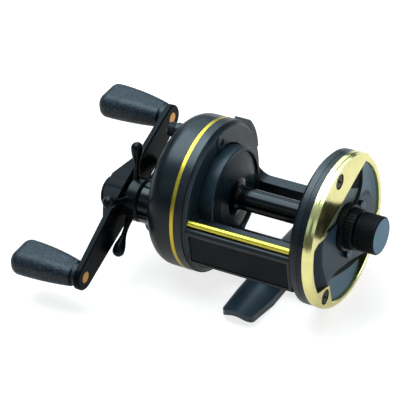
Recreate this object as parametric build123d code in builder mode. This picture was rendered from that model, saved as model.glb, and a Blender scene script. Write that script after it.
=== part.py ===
from build123d import *
from math import acos, asin, atan2, cos, degrees, pi, radians, sin, sqrt, tan
import os

# Baitcasting reel. Millimetres. The origin lies on the rod's axis under the middle of the foot,
# with +X from the handle towards the brake dial, +Y backwards to the angler and +Z up.

# --- rod seat and foot --------------------------------------------------------------------
saddle_radius = 9.0          # hollow under the foot that sits on the rod
foot_length = 66.0
foot_width = 15.0
foot_tip_width = 12.4
foot_straight = 34.0         # full-width middle of the foot
foot_thickness = 2.2
foot_corner = 3.6
foot_land_rise = 0.5         # flat land on the foot's crown that carries the bottom bar
foot_land_width = 10.0
foot_rivet_radius = 1.5
foot_rivet_head = 2.4
foot_rivet_head_height = 0.8
foot_rivet_sink = 1.0        # lower ends above the edge of their holes in the hollow
foot_rivet_spacing_x = 5.0
foot_rivet_spacing_y = 14.0

# --- axes ---------------------------------------------------------------------------------
plate_rise = 26.5            # foot's hollow crown to the centre of the round plates
spool_rise = 2.2             # spool above the centre of the plates
gear_module = 0.49
main_teeth = 48
pinion_teeth = 10
drive_angle = 191.2          # from the spool to the drive shaft, seen from the dial side

# --- clearances ---------------------------------------------------------------------------
run_gap = 0.05               # round a turning or sliding journal
fit_gap = 0.02               # round a fixed pin, screw or pressed ring
side_gap = 0.3               # beside a turning piece
loose_gap = 0.1              # round or behind a piece that has play
knob_gap = 0.4               # under a turning knob, hub or pad
screw_end_gap = 0.2          # below the end of a screw or rod in its hole
tooth_gap = 0.12             # between meshed tooth flanks

# --- frame --------------------------------------------------------------------------------
ring_gap = 43.0              # between the two rings of the frame
ring_radius = 29.8
gear_ring_width = 6.3
gear_ring_band = 4.9         # full-radius part of the gear-side ring
gear_ring_step = 0.6
dial_ring_width = 3.5
ring_edge = 1.2
opening_gap = 0.6            # round the spool's flanges
front_bar_face = 28.0        # distance of the front bar's face in front of the centre
front_bar_lean = 1.1         # the face leans in towards its lower edge
front_bar_wall = 3.0
front_bar_top = 1.3          # height of the face's upper edge above the centre
front_bar_depth = 12.5       # lower edge below the centre
front_bar_edge = (1.0, 0.8)  # depth and height of the slope under the face
deck_top = 3.1
deck_back = 19.2
deck_thickness = 2.8
bead_radius = 1.7            # rounded ledge along the front of the deck
bead_height = 1.9
bead_overhang = 0.5          # in front of the bar's face
rear_bar_front = 20.8
rear_bar_back = 27.6
rear_bar_top = -4.6
rear_bar_bottom = -13.6
rear_bar_chamfer = 1.8
rear_bar_lean = 1.4
gusset_gear = 7.0            # concave corners between the bars and the rings
gusset_dial = 3.0
gusset_rod_gap = 0.6         # behind the line guard
bottom_bar_half = 10.5
bottom_bar_thickness = 2.7

badge_length = 41.0
badge_height = 12.0
badge_shift = -0.5           # towards the handle from the middle of the bar
badge_recess = 0.7
badge_thickness = 0.5
badge_lip = 0.35             # groove between the badge and its frame

rod_radius = 1.2
rod_forward = 26.0
rod_height = 5.0
rod_grip = 1.4               # how far each end sits in its ring

# --- spool --------------------------------------------------------------------------------
flange_radius = 19.0
gear_flange_width = 8.6
gear_flange_side = 3.1       # from the gear-side ring's inner face into the ring
dial_flange_width = 2.9
dial_flange_inset = 0.4
flange_edge = 0.3
flange_lip = 1.4
flange_lip_depth = 0.8
flange_wall = 2.4
flange_draft = 0.7           # slope of the walls of the hollow in the flange
flange_dome = 1.6
arbor_radius = 4.5
arbor_root = 6.7
arbor_flare = 2.8
arbor_hub = 7.7              # solid middle of the hollow flange
spool_shaft_radius = 1.25
clutch_pin_radius = 0.5
clutch_pin_length = 4.6

# --- gear side ----------------------------------------------------------------------------
housing_depth = 12.5
housing_wall = 1.6
housing_rim = 1.8            # wall round the edge of the housing
housing_round = 7.0
cavity_corner = 4.0          # chamfer round the inside of the housing
housing_boss_chamfer = 0.5
sleeve_clear = 1.0           # round the drag sleeve inside the boss
shaft_clear = 0.6            # round the spool shaft inside its boss
stripe_width = 1.5
stripe_depth = 0.5
stripe_proud = 0.05
carrier_plate_radius = ring_radius - 2.5
carrier_plate_thickness = 2.0
drive_boss_radius = 8.4
drive_boss_length = 6.6
cap_boss_radius = 4.2
cap_boss_length = 3.7
bearing_radius = 3.0
bearing_length = 1.6
thumb_radius = ring_radius - 5.3
thumb_angles = (88, 243, -31)
thumb_head_radius = 2.8
thumb_head_length = 3.0
thumb_head_stand = 0.4       # plain neck under the knurled head
thumb_neck_radius = 2.0
thumb_lug_height = 0.5       # raised round each screw's end on the spool side
thumb_end_sink = 0.3
thumb_shank_radius = 1.5
thumb_post_radius = 3.2
thumb_knurl_count = 20
thumb_chamfer = 0.5
carrier_screw_radius = ring_radius - 4.4
carrier_screw_angles = (118, 180, 285)
small_shank_radius = 0.8
small_head_radius = 1.5
small_head_height = 0.7
small_screw_grip = 3.0
small_slot = (2.0, 0.4, 0.35)        # length, width and depth of the driver's slot

# --- drive train --------------------------------------------------------------------------
drive_shaft_radius = 3.0
drive_journal_radius = 2.2
shaft_flange_radius = 6.3
shaft_flange_width = 1.1
ratchet_radius = 6.2
ratchet_root = 5.0
ratchet_teeth = 12
ratchet_width = 0.9
ratchet_gap = 0.5            # carrier plate to the ratchet
ratchet_slope = 0.86         # sloped share of each tooth's pitch
ratchet_phase = 12.0         # a tooth's tip lies here, in degrees
washer_thickness = 0.3
washer_radius = 8.6
main_gear_width = 2.2
pressure_washer_width = 0.5
pressure_washer_radius = 7.6
spring_washer_width = 1.2
spring_washer_radius = 5.4
spring_washer_thickness = 0.3
spring_washer_play = 0.15
sleeve_radius = 4.5
drive_bearing_radius = 6.6
drive_bearing_width = 3.0
bearing_inset = 0.1
bush_radius = 3.2
bush_stand = 0.3
journal_stand = 0.5          # end of the shaft past the carrier plate
shaft_chamfer = 0.4
shaft_tip_gap = 0.2
pressure_angle = 22.0
addendum_share = 0.85        # of the module
dedendum_share = 1.08
pinion_travel = 1.5
pinion_overhang = 0.5        # teeth past the main gear
pinion_inset = 0.4           # slotted end behind the carrier plate's face
pinion_groove_radius = 1.75
pinion_groove_width = 1.0
pinion_collar_radius = 2.6
pinion_slot_depth = 1.0
yoke_thickness = 0.8
yoke_post_offset = 9.0
yoke_post_radius = 1.0
yoke_post_head = 1.7
yoke_post_head_height = 0.6
yoke_post_spare = 1.6        # above the yoke at the end of its travel
yoke_half_width = 3.4        # beside the pinion, away from the main gear
yoke_end_half_width = 1.6
yoke_waist = 3.2             # half length of the wide middle
yoke_ear_radius = 2.2
cam_thickness = 0.8
cam_radius = 7.0
cam_bore = 3.4
cam_stand = 0.2              # carrier plate to the cam
cam_arm_start = 4.0
cam_arm_width = 5.0
cam_arm_reach = 26.5
lever_angle = 21.5
lever_span = 29.0            # degrees covered by the thumb pad
lever_travel = 14.0
lever_pad_width = 6.5
lever_pad_height = 2.0
lever_pad_taper = 0.8        # thinner at its forward end
lever_slot_play = 2.0        # degrees on each side of the leg
clutch_rivet_insets = (4.2, 1.6)     # from the end of the cam's arm
clutch_rivet_radius = 0.6
clutch_rivet_stand = 0.4
lever_leg_start = 20.5
lever_leg_thickness = 0.9
pawl_offset = 10.0
pawl_angle = 262.0
pawl_post_radius = 1.0
pawl_thickness = 0.8
pawl_post_head = 0.5
pawl_post_rim = 0.7
pawl_ring = 2.2
pawl_swing = 40.0            # lifted tip's degrees beside the line to the drive shaft
pawl_reach = 4.7
pawl_half_width = 1.76
pawl_tip_width = 0.33

# --- drag star and handle -----------------------------------------------------------------
star_arm_count = 5
star_first_angle = 79.6
star_hub_radius = 8.5
star_hub_length = 5.5
star_reach = 23.4            # tip of each arm from the drive shaft
star_bulb_radius = 2.35
star_bulb_length = 5.4
star_neck_radius = 1.25
star_root_radius = 2.1
star_arm_start = 5.5
star_chamfer = 0.7
star_rise = 1.0              # arms stand this far inside the hub's outer face
handle_angle = 23.5          # upper arm above the horizontal
handle_half = 37.45          # drive shaft to each knob
handle_inner_gap = 1.7       # star hub to the flat inside of the handle
arm_thickness = 2.4
hub_thickness = 7.5
hub_flat = 4.0
hub_slope_end = 14.5
arm_hub_width = 15.0
arm_end_radius = 5.2
arm_bevel = 0.45
hub_disc_grow = 0.2
handle_cap_radius = 5.9
handle_cap_length = 2.2
handle_cap_lip = 0.5
handle_cap_rim = 1.2
handle_cap_dish = 0.5
handle_nut_flats = 8.0
handle_nut_depth = 3.2
pocket_radius = 5.0
pocket_depth = 4.6
handle_cap_spigot = 0.8
knob_bore = 1.7
rivet_head_radius = 2.25
rivet_head_depth = 0.8
rivet_head_sink = 0.1
paddle_neck_radius = 4.4
paddle_neck_length = 1.8
paddle_length = 27.6
paddle_root = (10.8, 8.0)    # width and thickness next to the arm
paddle_middle = (14.6, 10.1)
paddle_end = (15.6, 10.1)
paddle_root_rise = (0.1, 0.3)        # centre of each section from the knob's axis
paddle_middle_rise = (0.3, 0.65)
paddle_end_rise = (0.3, 0.75)
paddle_corner_share = 0.44   # corner radius as a share of the thickness
paddle_middle_share = 0.5    # place of the middle section along the body
paddle_end_round = 3.8
paddle_cap_radius = 2.6
paddle_cap_depth = 1.4
paddle_slot = (3.6, 0.6, 0.5)
paddle_bush_length = 5.0
paddle_bush_radius = 2.7

# --- dial side ----------------------------------------------------------------------------
plate_rim_radius = ring_radius - 0.1
plate_rim_width = 2.5
trim_radius = ring_radius + 0.2
trim_width = 3.4
trim_inner_radius = trim_radius - 3.1
trim_round = 2.2
trim_lip = 0.3
facet_distance = 15.7        # straight edge of the flat facet from the centre
facet_angle = 107.3
facet_edge = 0.2
cap_rise = 3.1               # black cap above the rim's face
cap_gap = 0.15               # between the cap and what is round it
cap_thickness = 1.0          # over the plate's raised floor
cap_edge = 1.6               # thickness at the cap's outer edge
floor_thickness = 1.0        # of the plate behind the magnets
floor_wall = 1.5             # round that floor
cap_flat_radius = 17.0
cavity_radius = 16.5
plate_screw_radius = trim_radius - 4.4
plate_screw_angles = (100, 222.5, -30)
plate_screw_head = 2.7
plate_screw_room = 0.3       # round the heads
plate_screw_head_height = 1.3
plate_screw_chamfer = 0.25
plate_screw_shank = 0.95
plate_screw_sink = 0.3
plate_screw_grip = 2.6
cross_length = 3.4           # cross recess in the heads
cross_width = 0.6
cross_depth = 0.8
lug_radius = 3.4
lug_point = plate_screw_radius - 4.6  # pointed end of each lug from the centre
lug_root = trim_radius - 2.6          # corners where it meets the ring
lug_half_angle = 17.0
collar_radius = 8.9
collar_height = 2.9          # above the plate's floor
collar_bore = 7.3
collar_bore_depth = 3.4
collar_tab_thickness = 1.5
collar_tab_reach = 10.3
collar_tab_radius = 2.5
collar_tab_angles = (16, 263)
collar_neck_radius = 7.9
collar_neck_height = 3.6
collar_notch_count = 36
collar_chamfer = 0.3
dial_radius = 7.35
dial_length = 8.4
dial_knurl_count = 48
knurl_depth = 0.25
dial_stem_radius = 3.0
dial_chamfer = 0.5
index_radius = 0.55
index_depth = 0.3
index_offset = 4.2
index_angle = 156
brake_cam_radius = 7.0
brake_cam_gap = 1.4          # floor to the cam
brake_cam_width = 1.2
rotor_radius = 14.0
rotor_thickness = 0.6
rotor_hub_radius = 2.9
rotor_hub_length = 1.4
rotor_stand = 0.5            # flange to the rotor
rotor_window_count = 6
rotor_window_radius = 1.6
rotor_window_circle = 5.9
magnet_carrier_radius = 13.4
magnet_carrier_bore = 5.1
magnet_carrier_width = 1.2
magnet_travel = 1.0          # towards the rotor
magnet_rotor_gap = 0.2       # left at the end of that travel
magnet_radius = 1.6
magnet_depth = 0.8
magnet_count = 6
magnet_circle = 10.6
carrier_leg_radius = 0.9
carrier_leg_circle = 6.0
carrier_leg_angles = (90, 210, 330)
guide_pin_radius = 0.8
guide_pin_circle = 7.4
guide_pin_angles = (30, 150)
guide_pin_gap = 0.4          # to the rotor
bearing_hub_wall = 1.1

tension_cap_radius = 5.4
tension_cap_end = 1.6
tension_cap_knurl_count = 30
tension_cap_chamfer = 0.5
tension_shim_radius = 2.2
tension_shim_thickness = 0.4

# --- worked out from the above ------------------------------------------------------------
crown_z = saddle_radius                              # underside of the foot's crown
foot_top = crown_z + foot_thickness
land_z = foot_top + foot_land_rise
plate_z = crown_z + plate_rise
spool_z = plate_z + spool_rise
gear_centres = gear_module * (main_teeth + pinion_teeth) / 2
drive_y = gear_centres * cos(radians(drive_angle))
drive_z = spool_z + gear_centres * sin(radians(drive_angle))

plate_axis = (0, plate_z)
spool_axis = (0, spool_z)
drive_axis = (drive_y, drive_z)

x_gear_ring = -ring_gap / 2                          # inner faces of the two rings
x_dial_ring = ring_gap / 2
x_gear_seat = x_gear_ring - gear_ring_width          # where the side plates seat
x_dial_seat = x_dial_ring + dial_ring_width
x_housing = x_gear_seat - housing_depth
x_cavity = x_housing + housing_wall
x_carrier = x_gear_seat + carrier_plate_thickness    # spool side of the carrier plate
x_drive_boss = x_housing - drive_boss_length
x_cap_boss = x_housing - cap_boss_length

x_cam = x_gear_seat - cam_stand                      # stack on the drive side of that plate
x_leg = x_cam - cam_thickness - lever_leg_thickness  # outer face of the lever's leg
x_yoke = x_cam - cam_thickness - side_gap
x_groove = x_yoke + (pinion_groove_width - yoke_thickness) / 2
x_pinion_teeth = x_groove - pinion_groove_width
x_ratchet = x_gear_seat - ratchet_gap
x_flange = x_ratchet - ratchet_width
x_main_gear = x_flange - shaft_flange_width - washer_thickness
x_pressure = x_main_gear - main_gear_width - washer_thickness
x_springs = x_pressure - pressure_washer_width
x_sleeve = x_springs - spring_washer_width
x_pinion_end = x_main_gear - main_gear_width - pinion_overhang   # outer end of its teeth
x_pinion_face = x_carrier - pinion_inset             # slotted end of the pinion
x_clutch_pin = x_pinion_face - pinion_slot_depth / 2

x_star = x_drive_boss - knob_gap                     # hub of the star
x_star_end = x_star - star_hub_length
x_handle = x_star_end - handle_inner_gap             # flat inside of the handle
x_arm_back = x_handle - arm_thickness
x_hub_back = x_handle - hub_thickness
x_paddle = x_arm_back - knob_gap
x_paddle_end = x_paddle - paddle_length
handle_u = (cos(radians(handle_angle)), sin(radians(handle_angle)))
knob_axes = {
    "upper": (drive_y + handle_half * handle_u[0], drive_z + handle_half * handle_u[1]),
    "lower": (drive_y - handle_half * handle_u[0], drive_z - handle_half * handle_u[1]),
}

x_rim_face = x_dial_seat + plate_rim_width           # seat of the gold trim
x_trim_face = x_rim_face + trim_width
x_cap_face = x_rim_face + cap_rise
x_floor = x_cap_face - cap_thickness                 # outer face of the plate's floor
x_cavity_end = x_floor - floor_thickness
x_collar_face = x_floor + collar_height
x_neck_face = x_collar_face + collar_neck_height
x_dial = x_neck_face + knob_gap
x_dial_end = x_dial + dial_length
x_dial_flange = x_dial_ring + dial_flange_inset
x_rotor = x_dial_flange + dial_flange_width + rotor_stand
x_magnets = x_rotor + rotor_thickness + magnet_rotor_gap + magnet_travel
x_brake_cam = x_floor + brake_cam_gap
x_gear_flange = x_gear_ring - gear_flange_side
x_shaft_end = x_cavity_end - side_gap
x_bearing_dial = x_cavity_end - bearing_length
opening_radius = flange_radius + opening_gap
floor_radius = cavity_radius + floor_wall

os.makedirs("parts", exist_ok=True)


# --- helpers ------------------------------------------------------------------------------
def across(x, axis=plate_axis):
    """Plane square to the reel's axis at x, centred on an axis, with its own x along +Y."""
    return Plane(origin=(x, axis[0], axis[1]), x_dir=(0, 1, 0), z_dir=(1, 0, 0))


def along(axis):
    """Plane through an axis, for (x, radius) outlines that turn about it."""
    return Plane(origin=(0, axis[0], axis[1]), x_dir=(1, 0, 0), z_dir=(0, -1, 0))


def line_of(axis):
    return Axis((0, axis[0], axis[1]), (1, 0, 0))


def spot(radius, angle):
    """Point at a radius and an angle from +Y towards +Z."""
    return (radius * cos(radians(angle)), radius * sin(radians(angle)))


def moved(axis, radius, angle):
    """An axis at a radius and an angle from another one."""
    y, z = spot(radius, angle)
    return (axis[0] + y, axis[1] + z)


def turn(points, axis, mode=Mode.ADD):
    """Turn a closed outline of (x, radius) points about an axis."""
    with BuildSketch(along(axis)) as outline:
        with BuildLine():
            Polyline(*points, close=True)
        make_face()
    revolve(outline.sketch, axis=line_of(axis), mode=mode)


def tube(x0, x1, outer, axis, inner=0.0, mode=Mode.ADD):
    """A round bar or, with an inner radius, a tube from x0 to x1."""
    with BuildSketch(across(min(x0, x1), axis)) as ring:
        Circle(outer)
        if inner > 0:
            Circle(inner, mode=Mode.SUBTRACT)
    extrude(ring.sketch, amount=abs(x1 - x0), mode=mode)


def bar(x0, x1, points, axis=plate_axis, mode=Mode.ADD):
    """A prism along X with an outline of points in Y and Z."""
    with BuildSketch(across(min(x0, x1), axis)) as outline:
        with BuildLine():
            Polyline(*points, close=True)
        make_face()
    extrude(outline.sketch, amount=abs(x1 - x0), mode=mode)


def holes(x0, x1, radius, spots, axis=plate_axis, mode=Mode.SUBTRACT):
    """Round holes, or pins with Mode.ADD, at a list of spots."""
    with BuildSketch(across(min(x0, x1), axis)) as circles:
        with Locations(*spots):
            Circle(radius)
    extrude(circles.sketch, amount=abs(x1 - x0), mode=mode)


def slot(x0, x1, length, width, axis, rotation=0.0):
    """A straight slot cut square to X, such as a driver's slot."""
    with BuildSketch(across(min(x0, x1), axis)) as cut:
        Rectangle(length, width, rotation=rotation)
    extrude(cut.sketch, amount=abs(x1 - x0), mode=Mode.SUBTRACT)


def knurls(x0, x1, radius, depth, count, axis):
    """Straight grooves round a grip."""
    with BuildSketch(across(min(x0, x1), axis)) as grooves:
        with PolarLocations(radius, count):
            Rectangle(2 * depth, radius * pi / count)
    extrude(grooves.sketch, amount=abs(x1 - x0), mode=Mode.SUBTRACT)


def finish(part, name):
    part.label = name
    export_step(part, f"parts/{name}.step")


# --- frame: two rings, front bar, rear bar and bottom bar in one casting ------------------
face_top = (-front_bar_face, front_bar_top)
face_bottom = (front_bar_lean - front_bar_face, -front_bar_depth)
bead_centre = (bead_radius - front_bar_face - bead_overhang, bead_height)
rod_axis = (-rod_forward, plate_z + rod_height)

with BuildPart() as frame:
    turn([(x_gear_seat, 0), (x_gear_seat, ring_radius),
          (x_gear_seat + gear_ring_band, ring_radius),
          (x_gear_seat + gear_ring_band, ring_radius - gear_ring_step),
          (x_gear_ring - ring_edge, ring_radius - gear_ring_step),
          (x_gear_ring, ring_radius - gear_ring_step - ring_edge), (x_gear_ring, 0)], plate_axis)
    turn([(x_dial_ring, 0), (x_dial_ring, ring_radius - ring_edge),
          (x_dial_ring + ring_edge, ring_radius), (x_dial_seat, ring_radius), (x_dial_seat, 0)],
         plate_axis)
    bar(x_gear_ring, x_dial_ring, [
        face_top, face_bottom,
        (face_bottom[0] + front_bar_edge[0], face_bottom[1] - front_bar_edge[1]),
        (face_bottom[0] + front_bar_wall, face_bottom[1] - front_bar_edge[1]),
        (front_bar_wall - front_bar_face, deck_top - deck_thickness),
        (-deck_back, deck_top - deck_thickness), (-deck_back, deck_top),
        (bead_centre[0], deck_top)])
    tube(x_gear_ring, x_dial_ring, bead_radius, (bead_centre[0], plate_z + bead_centre[1]))
    bar(x_gear_ring, x_dial_ring, [
        (rear_bar_front, rear_bar_top), (rear_bar_back - rear_bar_chamfer, rear_bar_top),
        (rear_bar_back, rear_bar_top - rear_bar_chamfer),
        (rear_bar_back - rear_bar_lean, rear_bar_bottom), (rear_bar_front, rear_bar_bottom)])
    # concave corners where the rear bar and the deck run into the rings
    for y_from, y_to, base, gear_size in (
            (rear_bar_front, rear_bar_back - rear_bar_chamfer, rear_bar_top, gusset_gear),
            (rod_radius + gusset_rod_gap - rod_forward, -deck_back, deck_top, gusset_dial)):
        with BuildSketch(Plane.XZ.offset(-y_from)) as corners:
            for x_face, way, size in ((x_gear_ring, 1, gear_size), (x_dial_ring, -1, gusset_dial)):
                inset = size * (1 - sqrt(0.5))
                z_base = plate_z + base
                with BuildLine():
                    Line((x_face, z_base), (x_face, z_base + size))
                    ThreePointArc((x_face, z_base + size), (x_face + way * inset, z_base + inset),
                                  (x_face + way * size, z_base))
                    Line((x_face + way * size, z_base), (x_face, z_base))
                make_face()
        extrude(corners.sketch, amount=y_from - y_to)
    bottom = land_z - plate_z
    bar(x_gear_ring, x_dial_ring, [
        (-bottom_bar_half, bottom), (bottom_bar_half, bottom),
        (bottom_bar_half, bottom + bottom_bar_thickness),
        (-bottom_bar_half, bottom + bottom_bar_thickness)])
    # openings for the spool, seat of the carrier plate, groove of the stripe
    tube(x_gear_seat, x_gear_ring, opening_radius, spool_axis, mode=Mode.SUBTRACT)
    tube(x_dial_ring, x_dial_seat, opening_radius, spool_axis, mode=Mode.SUBTRACT)
    tube(x_gear_seat, x_carrier, carrier_plate_radius + run_gap, plate_axis, mode=Mode.SUBTRACT)
    tube(x_gear_seat, x_gear_seat + stripe_width, ring_radius + 1, plate_axis,
         inner=ring_radius - stripe_depth, mode=Mode.SUBTRACT)
    # raised lugs on the spool side for the thumb screws
    with BuildSketch(across(x_gear_ring)) as lugs:
        with Locations(*[spot(thumb_radius, a) for a in thumb_angles]):
            Circle(thumb_post_radius)
    extrude(lugs.sketch, amount=thumb_lug_height)
    holes(x_gear_seat, x_gear_ring + thumb_lug_height, thumb_shank_radius + fit_gap,
          [spot(thumb_radius, a) for a in thumb_angles])
    holes(x_carrier, x_carrier + small_screw_grip, small_shank_radius + fit_gap,
          [spot(carrier_screw_radius, a) for a in carrier_screw_angles])
    holes(x_dial_seat - plate_screw_grip - screw_end_gap, x_dial_seat, plate_screw_shank + fit_gap,
          [spot(plate_screw_radius, a) for a in plate_screw_angles])
    # sockets of the line guard, badge recess, rivet holes of the foot
    tube(x_gear_ring - rod_grip, x_dial_ring + rod_grip, rod_radius + fit_gap, rod_axis,
         mode=Mode.SUBTRACT)
    lean = degrees(atan2(front_bar_lean, front_bar_depth + front_bar_top))
    face_middle = ((face_top[0] + face_bottom[0]) / 2, (face_top[1] + face_bottom[1]) / 2)
    badge_plane = Plane(origin=(badge_shift, face_middle[0], plate_z + face_middle[1]),
                        x_dir=(1, 0, 0), z_dir=(0, -cos(radians(lean)), -sin(radians(lean))))
    with BuildSketch(badge_plane) as recess:
        Rectangle(badge_length, badge_height)
    extrude(recess.sketch, amount=-badge_recess, mode=Mode.SUBTRACT)
    with BuildSketch(Plane.XY.offset(land_z)) as rivet_holes:
        with GridLocations(foot_rivet_spacing_x, foot_rivet_spacing_y, 2, 2):
            Circle(foot_rivet_radius + fit_gap)
    extrude(rivet_holes.sketch, amount=bottom_bar_thickness, mode=Mode.SUBTRACT)
finish(frame.part, "frame")

# --- foot: saddle plate with narrowed, rounded ends ---------------------------------------
half_length = foot_length / 2
with BuildPart() as reel_foot:
    with BuildSketch(Plane.XZ.offset(-half_length)):
        Circle(saddle_radius + foot_thickness)
        Circle(saddle_radius, mode=Mode.SUBTRACT)
    extrude(amount=foot_length)
    with BuildSketch(Plane.XY) as plan:
        with BuildLine():
            Polyline((-foot_width / 2, -foot_straight / 2), (-foot_tip_width / 2, -half_length),
                     (foot_tip_width / 2, -half_length), (foot_width / 2, -foot_straight / 2),
                     (foot_width / 2, foot_straight / 2), (foot_tip_width / 2, half_length),
                     (-foot_tip_width / 2, half_length), (-foot_width / 2, foot_straight / 2),
                     close=True)
        make_face()
        fillet(plan.vertices().group_by(Axis.Y)[0] + plan.vertices().group_by(Axis.Y)[-1],
               foot_corner)
    extrude(plan.sketch, amount=saddle_radius + foot_thickness + 1, mode=Mode.INTERSECT)
    land_base = crown_z + foot_thickness / 4
    with BuildSketch(Plane.XY.offset(land_base)) as land:
        Rectangle(foot_land_width, 2 * bottom_bar_half)
    extrude(land.sketch, amount=land_z - land_base)
    with BuildSketch(Plane.XY) as rivet_holes:
        with GridLocations(foot_rivet_spacing_x, foot_rivet_spacing_y, 2, 2):
            Circle(foot_rivet_radius + fit_gap)
    extrude(rivet_holes.sketch, amount=land_z, mode=Mode.SUBTRACT)
finish(reel_foot.part, "reel_foot")

with BuildPart() as foot_rivets:
    hole_edge = foot_rivet_spacing_x / 2 + foot_rivet_radius
    rivet_base = sqrt(saddle_radius ** 2 - hole_edge ** 2) + foot_rivet_sink
    with BuildSketch(Plane.XY.offset(rivet_base)) as shanks:
        with GridLocations(foot_rivet_spacing_x, foot_rivet_spacing_y, 2, 2):
            Circle(foot_rivet_radius)
    extrude(shanks.sketch, amount=land_z + bottom_bar_thickness - rivet_base)
    with BuildSketch(Plane.XY.offset(land_z + bottom_bar_thickness)) as heads:
        with GridLocations(foot_rivet_spacing_x, foot_rivet_spacing_y, 2, 2):
            Circle(foot_rivet_head)
    extrude(heads.sketch, amount=foot_rivet_head_height, taper=25)
finish(foot_rivets.part, "foot_rivets")

# --- line guard and badge -----------------------------------------------------------------
with BuildPart() as line_guard:
    tube(x_gear_ring - rod_grip + screw_end_gap, x_dial_ring + rod_grip - screw_end_gap,
         rod_radius, rod_axis)
finish(line_guard.part, "line_guard_rod")

with BuildPart() as badge:
    with BuildSketch(badge_plane.offset(-badge_recess)):
        Rectangle(badge_length - 2 * badge_lip, badge_height - 2 * badge_lip)
    extrude(amount=badge_thickness)
finish(badge.part, "front_badge")

# --- gear side: housing, stripe and thumb screws ------------------------------------------
with BuildPart() as housing:
    tube(x_housing, x_gear_seat, ring_radius, plate_axis)
    fillet(housing.edges().filter_by(GeomType.CIRCLE).sort_by(Axis.X)[0], housing_round)
    cavity = ring_radius - housing_rim
    turn([(x_gear_seat, 0), (x_gear_seat, cavity), (x_cavity + cavity_corner, cavity),
          (x_cavity, cavity - cavity_corner), (x_cavity, 0)], plate_axis, mode=Mode.SUBTRACT)
    # posts for the thumb screws, each with a seat for its head outside
    with BuildSketch(across(x_housing)) as posts:
        with Locations(*[spot(thumb_radius, a) for a in thumb_angles]):
            Circle(thumb_post_radius)
    extrude(posts.sketch, amount=x_gear_seat - x_housing)
    tube(x_drive_boss, x_housing, drive_boss_radius, drive_axis)
    chamfer(housing.edges().filter_by(GeomType.CIRCLE).sort_by(Axis.X)[0], housing_boss_chamfer)
    tube(x_cap_boss, x_housing, cap_boss_radius, spool_axis)
    tube(x_drive_boss, x_cavity, sleeve_radius + sleeve_clear, drive_axis, mode=Mode.SUBTRACT)
    tube(x_drive_boss, x_drive_boss + drive_bearing_width, drive_bearing_radius + fit_gap,
         drive_axis, mode=Mode.SUBTRACT)
    tube(x_cap_boss, x_cavity, spool_shaft_radius + shaft_clear, spool_axis, mode=Mode.SUBTRACT)
    tube(x_cap_boss, x_cap_boss + bearing_length, bearing_radius + fit_gap, spool_axis,
         mode=Mode.SUBTRACT)
    holes(x_housing, x_gear_seat, thumb_shank_radius + fit_gap,
          [spot(thumb_radius, a) for a in thumb_angles])
    # slot in the rim for the leg of the clutch lever, with room for its travel
    slot_half = degrees(asin(cam_arm_width / 2 / ring_radius)) + lever_slot_play
    bar(x_leg - knob_gap, x_gear_seat, [
        (0, 0), spot(2 * ring_radius, lever_angle - lever_travel - slot_half),
        spot(2 * ring_radius, lever_angle + slot_half)], mode=Mode.SUBTRACT)
finish(housing.part, "gear_side_housing")

with BuildPart() as stripe:
    tube(x_gear_seat + fit_gap, x_gear_seat + stripe_width - fit_gap, ring_radius + stripe_proud,
         plate_axis, inner=ring_radius - stripe_depth + fit_gap)
finish(stripe.part, "gold_stripe")

x_thumb = x_housing - thumb_head_stand
with BuildPart() as thumb_screws:
    thumb_spots = [spot(thumb_radius, a) for a in thumb_angles]
    holes(x_thumb - thumb_head_length, x_thumb, thumb_head_radius, thumb_spots, mode=Mode.ADD)
    chamfer(thumb_screws.edges().filter_by(GeomType.CIRCLE).group_by(Axis.X)[0], thumb_chamfer)
    for angle in thumb_angles:
        knurls(x_thumb - thumb_head_length + thumb_chamfer, x_thumb, thumb_head_radius,
               knurl_depth, thumb_knurl_count, moved(plate_axis, thumb_radius, angle))
    holes(x_thumb, x_housing, thumb_neck_radius, thumb_spots, mode=Mode.ADD)
    holes(x_housing, x_gear_ring + thumb_lug_height - thumb_end_sink, thumb_shank_radius,
          thumb_spots, mode=Mode.ADD)
finish(thumb_screws.part, "thumb_screws")

# --- carrier plate inside the gear side ---------------------------------------------------
post_angles = (drive_angle - 90, drive_angle + 90)
post_axes = [moved(spool_axis, yoke_post_offset, a) for a in post_angles]
pawl_axis = moved(drive_axis, pawl_offset, pawl_angle)
with BuildPart() as carrier_plate:
    tube(x_gear_seat, x_carrier, carrier_plate_radius, plate_axis)
    holes(x_gear_seat, x_carrier, thumb_shank_radius + fit_gap,
          [spot(thumb_radius, a) for a in thumb_angles])
    holes(x_gear_seat, x_carrier, small_shank_radius + fit_gap,
          [spot(carrier_screw_radius, a) for a in carrier_screw_angles])
    tube(x_gear_seat, x_carrier, pinion_collar_radius + loose_gap, spool_axis, mode=Mode.SUBTRACT)
    tube(x_gear_seat, x_carrier, bush_radius + fit_gap, drive_axis, mode=Mode.SUBTRACT)
    for axis in post_axes:
        tube(x_gear_seat, x_carrier, yoke_post_radius + fit_gap, axis, mode=Mode.SUBTRACT)
    tube(x_gear_seat, x_carrier, pawl_post_radius + fit_gap, pawl_axis, mode=Mode.SUBTRACT)
finish(carrier_plate.part, "gear_carrier_plate")

with BuildPart() as carrier_screws:
    for angle in carrier_screw_angles:
        axis = moved(plate_axis, carrier_screw_radius, angle)
        tube(x_gear_seat - small_head_height, x_gear_seat, small_head_radius, axis)
        tube(x_gear_seat, x_carrier + small_screw_grip - screw_end_gap, small_shank_radius, axis)
        slot(x_gear_seat - small_head_height, x_gear_seat - small_head_height + small_slot[2],
             small_slot[0], small_slot[1], axis)
finish(carrier_screws.part, "carrier_plate_screws")

x_post_head = x_yoke - yoke_thickness - pinion_travel - yoke_post_spare
with BuildPart() as yoke_posts:
    for axis in post_axes:
        tube(x_post_head, x_carrier, yoke_post_radius, axis)
        tube(x_post_head - yoke_post_head_height, x_post_head, yoke_post_head, axis)
finish(yoke_posts.part, "yoke_posts")

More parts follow.
